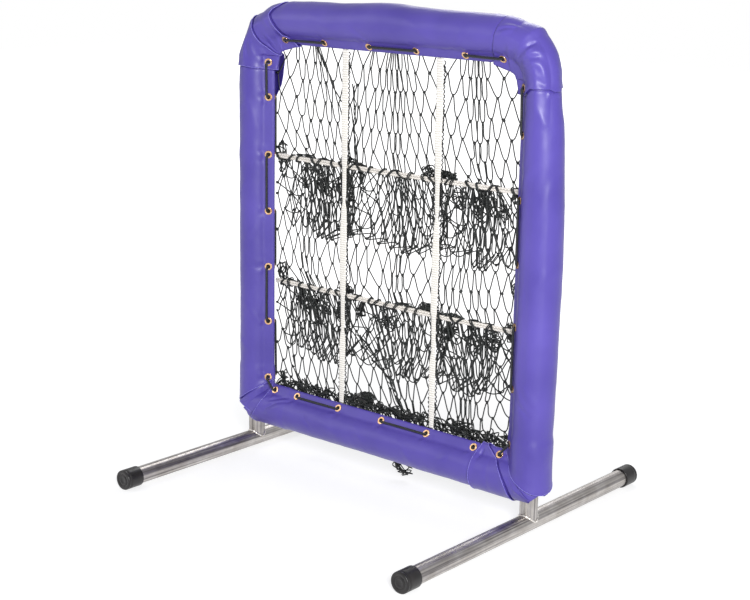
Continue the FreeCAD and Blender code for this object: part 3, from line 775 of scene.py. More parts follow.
def make_top_covers(cloth):
    """The top rail's cover, the left bend's two flaps with the loose flap behind them, and the
    right bend's one gathered piece."""
    front, _ = band_places()
    along_zero = bend_arc + bend_x
    right_end = along_zero + bend_x - 2

    def top_press(along):
        corners = np.minimum(pressed(left_press)(along), pressed(right_press, 2 * along_zero, -1.0)(along))
        return corners + rail_bulge * np.exp(-((along - along_zero) / 85.0) ** 2)

    sleeve("vinyl_top_rail", on_bend(-1), moved(left_bend_edge, -9), right_end, cloth, 0.0, [
        ((front - 70, 220), (front - 40, 290), 10, 1.3), ((front - 62, 611), (front - 22, 587), 9, 1.4),
        ((40, 470), (75, 530), 10, 1.2), ((front - 50, 340), (front - 24, 372), 7, -1.2)],
           along_zero + top_grommets, seed=31, press=top_press,
           grooves=[left_bend_edge, lambda inward, depth: 2 * along_zero - right_bend_edge(inward, depth)],
           replaces=("top_cover", "top_foam"))
    sleeve("vinyl_top_left_lower_flap", on_bend(-1), left_bend_hem, left_bend_seam, cloth,
           corner_lift + 0.6, [
        ((70, 36), (84, 0), 5, 2.0), ((62, 30), (72, -6), 4, -1.7), ((56, 40), (62, -12), 5, 1.5),
        ((94, 30), (98, 4), 6, 1.2), ((48, 30), (52, -8), 5, -1.0)],
        [corner_top_z - bend_z], slack=0.8, seed=61, over=("low", "high"), press=pressed(left_press),
        draw=drawn_in, replaces=("top_left_cover", "top_left_foam"))
    sleeve("vinyl_top_left_upper_flap", on_bend(-1), moved(left_bend_seam, -9), left_bend_edge, cloth,
           corner_lift - 0.4, [
        ((84, 86), (110, 73), 5, 1.6), ((92, 66), (118, 50), 5, -1.6), ((52, 104), (78, 112), 7, 1.2),
        ((44, 84), (64, 92), 6, -1.0)],
        [bend_arc + bend_x - corner_top_x], slack=0.8, seed=67, over=("high",), grooves=[left_bend_seam],
        press=pressed(left_press), draw=drawn_in)
    sleeve("vinyl_top_right_corner", on_bend(1), right_bend_hem, right_bend_edge, cloth, corner_lift, [
        ((44, 131), (31, 100), 5, 2.0), ((56, 130), (42, 106), 5, 1.7), ((49, 130), (36, 102), 3.5, -1.7),
        ((32, 64), (52, 66), 3, -3.0), ((50, 66), (82, 70), 5, -1.8), ((44, 60), (58, 61), 2.6, 1.8),
        ((64, 58), (31, 49), 6, 2.5), ((68, 51), (40, 42), 4, -2.0), ((82, 48), (41, 29), 6, 2.3),
        ((70, 40), (50, 20), 6, -1.4), ((42, 30), (38, 2), 7, 2.2), ((60, 10), (40, -4), 5, -1.3),
        ((92, 110), (70, 96), 7, 1.4), ((100, 84), (84, 60), 6, 1.3)],
        [corner_top_z - bend_z, bend_arc + bend_x - corner_top_x], slack=1.3, seed=73, over=("low",),
        rolled=False, press=pressed(right_press), draw=drawn_in,
        replaces=("top_right_cover", "top_right_foam"))
    add_rear_flap(cloth)


def add_rear_flap(cloth):
    """The loose flap behind the left bend's fin: a strip of vinyl from the pad's back to a free edge
    that swings in past the fin."""
    along = np.linspace(-96, 32, 60)[:, None]
    share = np.linspace(0, 1, 24)
    reach = np.interp(along, [-96, -61, -38, -13, 10, 32], [30, 49, 55, 60, 56, 36])
    inward = 18 + (reach - 18) * share
    depth = 32.5 - 8.5 * share + 2.0 * np.sin(np.pi * share) + 0.9 * np.sin(along / 11) * share
    grid = on_bend(-1)(inward, depth, along + 0 * inward)
    points, faces = skin(grid, np.broadcast_to([0.0, 1.0, 0.0], grid.shape), closed=False)
    add_padded("vinyl_top_left_rear_flap", points, [faces], cloth[0], "vinyl")


def make_covers():
    # The second material is the lighter edge vinyl: a painted highlight for the covers' rolled edges.
    cloth = vinyl(), vinyl_edge_highlight()
    make_side_covers(cloth)
    make_low_covers(cloth)
    make_top_covers(cloth)


# Feet

def make_feet():
    """Gives the CAD's own metal its finish, and adds the feet's caps, collars and welds."""
    steel_along_y = galvanised("galvanised_foot_tube", (260.0, 2.2, 260.0))
    steel_upright = galvanised("galvanised_upright_tube", (260.0, 260.0, 2.2))
    bead, cap_rubber, eyelet = weld_metal(), rubber(), brass()
    for name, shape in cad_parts.items():
        if name.endswith("foot_tube"):
            finish = steel_along_y
        elif name.endswith("grommets"):
            finish = eyelet
        else:
            finish = steel_upright
        shape.data.materials.clear()
        shape.data.materials.append(finish)
    for side_name, side in (("left", -1), ("right", 1)):
        x = side * half_spacing
        add_weld(side_name, x, steel_upright, bead)
        for end_name, tip_y, end in (("front", frame_y - foot_front, -1), ("back", frame_y + foot_back, 1)):
            add_cap(side_name, end_name, x, tip_y, end, cap_rubber)


def add_cap(side_name, end_name, x, tip_y, end, material):
    """A tube cap turned round the foot's axis, from (radius, distance behind the face) pairs: a ring
    and a dimple moulded in its face, a rounded rim, a groove behind it and a plain skirt, with a
    small flat where it stands."""
    profile = np.array([
        (5.5, 1.0), (6.6, 0.3), (8.0, 0.15), (10.4, 0.15), (11.2, 1.4), (12.8, 1.4), (13.6, 0.1),
        (17.0, 0.0), (18.6, 0.1), (19.7, 0.75), (20.3, 1.7), (20.5, 3.0), (20.5, 5.0), (19.9, 5.5),
        (20.0, 6.2), (20.5, 6.8), (20.5, 12.0), (20.42, 25.0), (20.5, 37.2), (20.3, 38.6),
        (19.4, 39.0), (17.5, 39.0), (17.5, 36.0)])
    side = np.arange(72)
    radius, behind = np.broadcast_to(profile.T[..., None], (2, len(profile), 72))
    across, up = radius * np.cos(side / 72 * 2 * np.pi), radius * np.sin(side / 72 * 2 * np.pi)
    points = np.stack([x + across, tip_y - end * behind, np.maximum(foot_axis_z + up, 0.0)], axis=-1)
    away = np.stack([across, np.full_like(across, end * 9.0), up], axis=-1)
    points = np.vstack([points.reshape(-1, 3), [[x, tip_y - end * 1.0, foot_axis_z]]])
    away = np.vstack([away.reshape(-1, 3), [[0, end * 9.0, 0]]])
    quads = outward(points, grid_faces(len(profile), 72, closed=True), away)
    fan = outward(points, np.stack([side, (side + 1) % 72, np.full(72, len(points) - 1)], axis=1), away)
    name = f"{side_name}_{end_name}_cap"
    add_piece(f"rubber_{name}", points, [quads, fan], material, "cap_rubber", f"{side_name}_foot", (name,))


def add_weld(side_name, x, steel, material):
    """The joint under an upright: a plain collar of tube from the upright's seat down to the foot,
    cut to lie on it, and round its cut edge a rippled bead."""
    turn = np.arange(160) / 160 * 2 * np.pi
    square = np.stack([np.cos(turn), np.sin(turn), 0 * turn], axis=1)
    body = f"{side_name}_foot"

    def on_foot(radius, sink):
        reach = radius * square[:, 0]
        top = np.sqrt(np.maximum(tube_r**2 - (saddle_share * reach) ** 2, 0.0))
        path = np.array([x, frame_y, 0.0]) + radius * square
        path[:, 2] = foot_axis_z + top - sink
        return path

    low = on_foot(tube_r - 0.1, 0.6)
    high = low.copy()
    high[:, 2] = foot_axis_z + tube_r + weld_height
    points, faces = skin(np.stack([low, high]), np.stack([square, square]))
    add_piece(f"tube_collar_{side_name}", points, [faces], steel, "galvanised_tube", body)
    rng = np.random.default_rng(5 if side_name == "left" else 6)
    stations = np.linspace(0, 2 * np.pi, 24, endpoint=False)
    lumps = np.interp(turn, stations, rng.normal(size=24), period=2 * np.pi)
    size = weld_bead_r * (1 + 0.1 * np.sin(turn * 30) + 0.12 * lumps)
    path = on_foot(tube_r + 0.3, 0.0)
    path = np.vstack([path, path[:1]])
    points, faces = tubes(path[None], np.append(size, size[0])[None], 10)
    add_piece(f"weld_bead_{side_name}", points, faces, material, "weld_bead", body, (f"{body}_weld",))


# Lacing, ropes and straps

def lace_stop(side, along, on_corner):
    """Where a lace passes a grommet: (x, z, depth outside the cover)."""
    lift = corner_lift if on_corner else 0.0
    middle = lift - (corner_half_wall if on_corner else half_wall)
    reach = fin_reach - band_inset + middle * math.sin(fin_lean)
    depth = band_depth + (lift + grommet_flange + lace_gap + lace_r) / math.cos(fin_lean)
    x, z = {"left": (reach - half_spacing, along), "right": (half_spacing - reach, along),
            "top": (along, rail_z - reach), "bottom": (along, crossbar_z + reach)}[side]
    return x, z, depth


def rounded(corners, radius, steps):
    """A polyline whose corners are rounded with short parabolas, read at equal steps."""
    p = np.asarray(corners, float)
    before, at, after = p[:-2], p[1:-1], p[2:]
    into, away = before - at, after - at
    back = np.minimum(radius, np.linalg.norm(into, axis=1) / 2)[:, None]
    on = np.minimum(radius, np.linalg.norm(away, axis=1) / 2)[:, None]
    start, end = at + unit(into) * back, at + unit(away) * on
    t = np.linspace(0, 1, 9)[:, None, None]
    turn = (1 - t) ** 2 * start + 2 * t * (1 - t) * at + t**2 * end
    path = np.concatenate([p[:1], turn.transpose(1, 0, 2).reshape(-1, 3), p[-1:]])
    return even_steps(path, steps)


def make_laces():
    cord = braided("braided_black_lace", "#050608", "#1B1E24", 3.2, 0.5, 0.35)
    laces = {
        "left": [("left", corner_top_z, True)] + [("left", z, False) for z in left_grommets[::-1]]
        + [("left", corner_low_z, True), ("bottom", -corner_low_x, True)],
        "bottom": [("bottom", x, False) for x in bottom_grommets],
        "right": [("bottom", corner_low_x, True), ("right", corner_low_z, True)]
        + [("right", z, False) for z in right_grommets] + [("right", corner_top_z, True)],
        "top": [("top", -corner_top_x, True)] + [("top", x, False) for x in top_grommets]
        + [("top", corner_top_x, True)]}
    for name, stops in laces.items():
        corners = []
        for number, stop in enumerate(stops):
            x, z, depth = lace_stop(*stop)
            through = [(x, frame_y + depth, z), (x, frame_y - depth, z)]
            corners += through if number % 2 == 0 else through[::-1]
        path = rounded(corners, lace_bend_r, 900)
        wander = np.stack([waves(path, 90, 7), 0 * path[:, 0], waves(path, 80, 8)], axis=1) * 0.35
        points, faces = tubes((path + wander)[None], lace_r, 12)
        add_piece(f"braided_{name}_lace", points, faces, cord, "lace_cord", replaces=(f"{name}_lace",),
                  uv=tube_uv(900, 12, path_length(path), lace_r))


def make_ropes():
    braid = braided("braided_cream_rope", "#D6CCBF", "#FFFAF2", 7.0, 0.75, 0.7)
    for name, level, seed in (("upper", upper_rope_z, 3), ("lower", lower_rope_z, 4)):
        x = np.linspace(-rope_half, rope_half, 420)
        sag = -1.6 * np.cos(x / rope_half * np.pi / 2) + 0.5 * line_waves(x, 200, seed)
        path = np.stack([x, np.full_like(x, frame_y + rope_depth), level + sag], axis=1)
        swell = rope_r * (0.93 + 0.05 * waves(path * 2.0, 120, seed + 9))
        points, faces = tubes(path[None], swell[None], 16)
        middle = np.repeat(path[:, 2], 16)
        points[:, 2] = middle + (points[:, 2] - middle) * rope_flat
        add_piece(f"braided_{name}_rope", points, faces, braid, "rope", replaces=(f"{name}_rope",),
                  uv=tube_uv(420, 16, 2 * rope_half, rope_r))


def make_straps():
    """Each strap is a rounded flat section carried down its side's line. It is full width above the
    upper rope, bunched below each rope and tied to a waist with the net, and turns a little about
    its own line."""
    weave = webbing()
    for name, side in (("left", -1), ("right", 1)):
        z = np.linspace(strap_low_z, strap_high_z, 700)
        share = np.interp(z, *np.array(strap_widths).T)
        rib = np.sin(z / strap_rib * 2 * np.pi)
        width = strap_width * share * (1 + 0.02 * rib)
        thickness = strap_thickness * (1.25 - 0.25 * share) * (0.88 + 0.07 * rib)
        turn = np.arange(20) / 20 * 2 * np.pi
        flat = np.sign(np.cos(turn)) * np.abs(np.cos(turn)) ** 0.5
        deep = np.sign(np.sin(turn)) * np.abs(np.sin(turn)) ** 0.8
        line = side * strap_x + 1.2 * line_waves(z, 240, 20 + side)
        lean = 0.12 * line_waves(z, 300, 30 + side)
        across = flat * width[:, None] / 2
        through = deep * thickness[:, None] / 2
        x = line[:, None] + across * np.cos(lean)[:, None]
        y = frame_y + strap_depth + through + np.clip(across * np.sin(lean)[:, None], -0.9, 0.9)
        grid = np.stack([x, y, np.broadcast_to(z[:, None], x.shape)], axis=-1)
        middle = np.stack([line, np.full_like(z, frame_y + strap_depth), z], axis=1)
        points, faces = skin(grid, grid - middle[:, None])
        ends = [np.arange(20)[None, ::-1], (len(z) - 1) * 20 + np.arange(20)[None]]
        add_piece(f"webbing_{name}_strap", points, [faces, *ends], weave, "webbing",
                  replaces=(f"{name}_strap",))


# The net

def spread(count, low, high, bunches, rng):
    """Places of the net's meshes along an edge: equal steps of a density that is 1 with a bump at
    each bunch (middle, width, height), shaken a little."""
    x = np.linspace(low, high, 2000)
    density = np.ones_like(x)
    for middle, width, height in bunches:
        density += height * np.exp(-((x - middle) / width) ** 2)
    run = np.cumsum(density)
    run = (run - run[0]) / (run[-1] - run[0])
    share = np.linspace(0, 1, count)
    share[1:-1] += rng.uniform(-0.4, 0.4, count - 2) / count
    return np.interp(share, run, x)


class Net:
    """A knotted diamond net: rows of knots, each odd row set half a mesh over, joined by bars of one
    length. It hangs by moving its knots under their weight and then pulling each bar that is too
    long back to its length, many times over; held knots stay where they are."""

    def __init__(self, meshes, rows, seed):
        self.meshes, self.rows = meshes, rows
        counts = [meshes + 1 if row % 2 == 0 else meshes for row in range(rows + 1)]
        starts = np.concatenate([[0], np.cumsum(counts)])
        self.index = [starts[row] + np.arange(counts[row]) for row in range(rows + 1)]
        self.row_of = np.repeat(np.arange(rows + 1), counts)
        self.column_of = np.concatenate([
            np.arange(count) + 0.5 * (row % 2) for row, count in enumerate(counts)])
        groups = [[], [], [], []]
        for row, (upper, lower) in enumerate(zip(self.index, self.index[1:])):
            if row % 2 == 0:
                pairs = [(upper[:-1], lower), (upper[1:], lower)]
            else:
                pairs = [(upper, lower[:-1]), (upper, lower[1:])]
            for number, pair in enumerate(pairs):
                groups[row % 2 * 2 + number].append(np.stack(pair, axis=1))
        self.groups = [np.concatenate(group) for group in groups]
        self.bars = np.concatenate(self.groups)
        self.rng = np.random.default_rng(seed)
        self.at = np.zeros((len(self.row_of), 3))
        self.held = np.zeros(len(self.row_of), bool)

    def tie(self, point, rows, count=1):
        """Ties the free knots nearest to a point, among some rows, to that point."""
        allowed = np.isin(self.row_of, rows) & ~self.held
        gap = np.where(allowed, np.linalg.norm(self.at - point, axis=1), np.inf)
        for knot in np.argsort(gap)[:count]:
            self.at[knot] = point + self.rng.normal(size=3) * [3.0, 2.0, 3.0]
            self.held[knot] = True

    def hang(self, steps, guide_x, guide_y, limits):
        """Lets the net hang. guide_x and guide_y draw knots gently to a place across and in depth,
        and limits moves knots out of what the net lies against."""
        before = self.at.copy()
        fixed = self.at[self.held].copy()
        for _ in range(steps):
            now = self.at.copy()
            self.at = self.at + (self.at - before) * carry
            self.at[:, 2] -= fall_step
            self.at[:, 0] += (guide_x - self.at[:, 0]) * guide_pull
            self.at[:, 1] += (guide_y - self.at[:, 1]) * guide_pull
            for _ in range(6):
                for group in self.groups:
                    first, second = self.at[group[:, 0]], self.at[group[:, 1]]
                    gap = second - first
                    length = np.linalg.norm(gap, axis=1, keepdims=True)
                    pull = gap / np.maximum(length, 1e-6) * np.maximum(length - bar_length, 0) * 0.5
                    self.at[group[:, 0]] += pull
                    self.at[group[:, 1]] -= pull
                self.at[self.held] = fixed
            self.at = limits(self.at)
            self.at[self.held] = fixed
            before = now


def hanging_curve(start, leave, arrive, end, segments):
    """Cubic curves from start to end, with leave and arrive as the middle control points."""
    t = np.linspace(0, 1, segments + 1)[None, :, None]
    a, b, c, d = (p[:, None] for p in (start, leave, arrive, end))
    return (1 - t)**3 * a + 3 * (1 - t)**2 * t * b + 3 * (1 - t) * t**2 * c + t**3 * d


def bar_paths(net, segments):
    """Each bar as a curve from its upper knot to its lower one. It leaves the upper knot straight
    and comes down beside the lower one before it turns in to it, as the legs of a mesh do where
    they hang in a knot. A bar that is too long for its gap bellies out further to its own side."""
    first, last = net.bars.T
    swap = net.at[first, 2] < net.at[last, 2]
    high, low = np.where(swap, last, first), np.where(swap, first, last)
    side = np.sign(net.column_of[high] - net.column_of[low])[:, None] * [1.0, 0.0, 0.0]
    start, end = net.at[high] - side * 0.9, net.at[low] + side * 0.9
    gap = end - start
    length = np.linalg.norm(gap, axis=1, keepdims=True)
    spare = np.maximum(bar_length - length, 0)
    rng = net.rng
    belly = rng.uniform(3.2, 6.5, (len(gap), 1)) + np.minimum(0.55 * np.sqrt(spare * length), 11.0)
    depth = rng.normal(size=(len(gap), 1)) * [0.0, 1.0, 0.0] * (1.0 + 0.12 * spare)
    down = np.array([0.0, 0.0, -1.0])
    arrive = end + side * belly + depth - down * np.maximum(0.16 * length - 0.35 * spare, -12.0)
    leave = start + gap * 0.36 - side * belly * 0.12 + down * 0.25 * spare + depth
    return hanging_curve(start, leave, arrive, end, segments)


def cross_paths(net, segments, from_row):
    """Strands that run across, from knot to knot of one row, in the part of a bag that faces the
    front: most are beside the straps and at the edges, where the bag is gathered."""
    rng = net.rng
    pairs = np.concatenate([
        np.stack([row[:-1], row[1:]], axis=1) for row in net.index[from_row:-1]])
    start, end = net.at[pairs[:, 0]], net.at[pairs[:, 1]]
    middle = (start[:, 0] + end[:, 0]) / 2
    near_strap = np.abs(np.abs(middle) - strap_x) < 46
    near_edge = np.abs(middle) > net_half - 40
    chance = np.where(near_strap | near_edge, 0.5, 0.1)
    keep = (rng.random(len(pairs)) < chance) & (np.linalg.norm(end - start, axis=1) < 70)
    start, end = start[keep], end[keep]
    sag = rng.uniform(4, 16, (len(start), 1)) * [0.0, 0.15, -1.0]
    gap = end - start
    return hanging_curve(start, start + gap * 0.25 + sag, end - gap * 0.25 + sag, end, segments)


def knot_lumps(places, radius, rng):
    """A knot as a lump of three turns of twine: a small ball squashed and pinched by a sine round
    it, turned at random about the upright line."""
    u = np.linspace(0, np.pi, 5)[1:-1]
    v = np.arange(6) / 6 * 2 * np.pi
    u, v = np.meshgrid(u, v, indexing="ij")
    ball = np.stack([np.sin(u) * np.cos(v), np.sin(u) * np.sin(v), np.cos(u)], axis=-1)
    ball *= (1 + 0.22 * np.sin(3 * v + u * 2))[..., None]
    shape = np.vstack([ball.reshape(-1, 3), [[0, 0, 1.0], [0, 0, -1.0]]])
    count = len(places)
    turn = rng.uniform(0, 2 * np.pi, (count, 1))
    sizes = radius * rng.uniform([1.0, 0.8, 0.75], [1.45, 1.1, 1.1], (count, 3))
    shaped = shape[None] * sizes[:, None]
    x = shaped[..., 0] * np.cos(turn) - shaped[..., 1] * np.sin(turn) * 0.6
    y = shaped[..., 0] * np.sin(turn) * 0.6 + shaped[..., 1] * np.cos(turn)
    points = (np.stack([x, y, shaped[..., 2]], axis=-1) + places[:, None]).reshape(-1, 3)
    side = np.arange(6)
    top = np.stack([np.full(6, 18), side, (side + 1) % 6], axis=1)
    foot = np.stack([np.full(6, 19), 12 + (side + 1) % 6, 12 + side], axis=1)
    offset = (np.arange(count) * len(shape))[:, None, None]
    away = points - np.repeat(places, len(shape), axis=0)
    faces = []
    for part in (grid_faces(3, 6, closed=True), top, foot):
        part = (part[None] + offset).reshape(-1, part.shape[1])
        faces.append(outward(points, part, away))
    return points, faces


def row_net(top_z, lip_z, rows, lines, seed, behind_bar=False):
    """One row of pockets: a net that hangs from its top line, goes down behind the rope or fin
    below, and comes up again to its lip there. Its sides are laced to the uprights' fins, and it
    is tied to both straps where they are pinched. lines holds (share of the way to the bag's
    bottom, bunches), from the top line down, and last the lip's."""
    meshes = net_meshes
    bag = low_bag_drop if behind_bar else bag_drop
    fall = top_z - lip_z + bag
    net = Net(meshes, rows, seed)
    lip_y = net_y + (12.0 if behind_bar else 5.0)
    turn_row = fall / (fall + bag) * rows
    down = np.clip(net.row_of / turn_row, 0, 1)
    up = np.clip((net.row_of - turn_row) / (rows - turn_row), 0, 1)
    column = np.arange(meshes + 1)
    places = [np.interp(net.column_of, column, spread(meshes + 1, -net_half, net_half, bunches, net.rng))
              for _, bunches in lines]
    shares = [share for share, _ in lines[:-1]]
    guide_x = np.array([np.interp(down[k], shares, [place[k] for place in places[:-1]])
                        for k in range(len(down))])
    guide_x = guide_x + (places[-1] - guide_x) * up
    run = net.row_of * (fall + bag) / rows
    z = np.where(run < fall, top_z - run, lip_z - bag + (run - fall))
    back = low_bag_depth if behind_bar else bag_depth
    below = ease(lip_z + 50 - z, 0, 110)
    guide_y = np.where(run < fall, net_y + 1 + back * below, lip_y + 12 * below)
    if behind_bar:
        guide_y = np.where(run < fall, guide_y, np.where(z < lip_z - 12, frame_y + 52, lip_y))
    net.at = np.stack([guide_x, guide_y, z], axis=1)
    net.at += net.rng.normal(size=net.at.shape) * [3.0, 4.0, 3.0]
    first, last = net.row_of == 0, net.row_of == rows
    net.at[first, 1:] = (net_y + 1.0, top_z)
    net.at[last, 1:] = (lip_y, lip_z)
    net.at[first, 0], net.at[last, 0] = guide_x[first], guide_x[last]
    outer = np.abs(net.column_of - meshes / 2) > meshes / 2 - 0.1
    sides = outer & (run < fall - 50)
    net.at[sides, 0] = np.sign(net.column_of[sides] - meshes / 2) * (net_half + 2)
    net.at[sides, 1] = net_y
    net.held = first | last | sides
    if not behind_bar:
        panel_rows = np.arange(int(turn_row))
        lip_rows = np.arange(int(turn_row) + 1, rows)
        for x in (-strap_x, strap_x):
            net.tie(np.array([x + 6, net_y + 9, lip_z - strap_tie_drop]), lip_rows, 2)
            net.tie(np.array([x - 5, net_y + 12, lip_z - 128.0]), panel_rows, 1)
            net.tie(np.array([x + 12, net_y + 12, lip_z - 112.0]), lip_rows, 1)

    def limits(at):
        at[:, 1] = np.clip(at[:, 1], net_y + 0.5, frame_y + net_back)
        if behind_bar:
            clear = pad_r + net_from_pad
            gap = at[:, 1:] - [frame_y, crossbar_z]
            away = np.linalg.norm(gap, axis=1, keepdims=True)
            pushed = [frame_y, crossbar_z] + gap / np.maximum(away, 1e-6) * clear
            at[:, 1:] = np.where(away < clear, pushed, at[:, 1:])
            at[:, 2] = np.maximum(at[:, 2], net_from_floor)
            at[:, 1] = np.where(at[:, 2] < 60, np.maximum(at[:, 1], frame_y + 22), at[:, 1])
        return at

    net.hang(hang_steps, guide_x, guide_y, limits)
    return net, int(turn_row) + 1


def tangle_paths(clumps, rng, steps=56):
    """Snarls of twine: in each clump (x, depth, z, half width, half height, loops) closed curves
    through points thrown at random into a flat ellipsoid."""
    paths = []
    for x, depth, z, half_width, half_height, loops in clumps:
        for _ in range(loops):
            way = unit(rng.normal(size=(9, 3))) * rng.uniform(0.45, 1.0, (9, 1)) ** 0.5
            size = [half_width, min(half_height, 9.0) * 0.7, half_height]
            points = np.array([x, frame_y + depth, z]) + way * size
            paths.append(smooth_path(np.vstack([points, points[:1]]), steps))
    return np.array(paths)


def lashing_paths(rng, steps=34):
    """Turns of twine wound slantwise round the two ropes, in pairs at uneven distances."""
    paths = []
    for level in (upper_rope_z, lower_rope_z):
        for x in np.arange(-300, 306, 27.0) + rng.uniform(-9, 9, 23):
            slant = rng.uniform(2.0, 9.0) * rng.choice([-1, 1])
            for shift in (0.0, rng.uniform(2.5, 5.0)):
                turn = np.linspace(0, 2 * np.pi, steps) + rng.uniform(0, 6)
                ring = rope_r + 0.9 * twine_r + 0.5 * np.sin(turn * 2 + rng.uniform(0, 6)) ** 2
                paths.append(np.stack([
                    x + shift + slant * np.sin(turn), frame_y + rope_depth + ring * np.cos(turn) * 0.98,
                    level - 1.0 + ring * rope_flat * np.sin(turn)], axis=1))
    return np.array(paths)


def seam_paths(rng, steps=160):
    """Twine that edges both straps in small waves, and loose bundles that follow their seams."""
    paths = []
    z = np.linspace(strap_low_z + 4, strap_high_z - 4, steps * 3)
    for x in (-strap_x, strap_x):
        for side in (-1, 1):
            wave = 8.4 + 1.5 * np.sin(z * 2 * np.pi / 9 + side) + 0.8 * line_waves(z, 60, 5)
            path = np.stack([x + side * wave, np.full_like(z, frame_y + strap_depth + 2.6), z], axis=1)
            paths += list(path.reshape(3, steps, 3))
    bundles = [(-112, 812, -108, 655, 5.0, 3), (-136, 660, -122, 578, 8.0, 3), (-104, 640, -124, 578, 8.0, 3),
               (-124, 578, -118, 500, 8.0, 2), (104, 650, 120, 578, 8.0, 3), (138, 648, 122, 576, 8.0, 3),
               (122, 576, 134, 505, 9.0, 2), (-118, 380, -120, 310, 8.0, 3), (120, 378, 124, 312, 8.0, 3),
               (-86, 300, 14, 196, 8.0, 4), (122, 352, 178, 236, 8.0, 3), (-212, 880, -150, 775, 3.0, 2)]
    share = np.linspace(0, 1, steps)[:, None]
    for x_high, z_high, x_low, z_low, width, strands in bundles:
        high, low = np.array([x_high, net_y + 5, z_high]), np.array([x_low, net_y + 9, z_low])
        line = high * (1 - share) + low * share
        for _ in range(strands):
            wander = np.stack([waves(line, rng.uniform(26, 60), rng.integers(999)) for _ in range(3)], axis=1)
            paths.append(line + wander * [width, 2.5, 4.0])
    return np.array(paths)


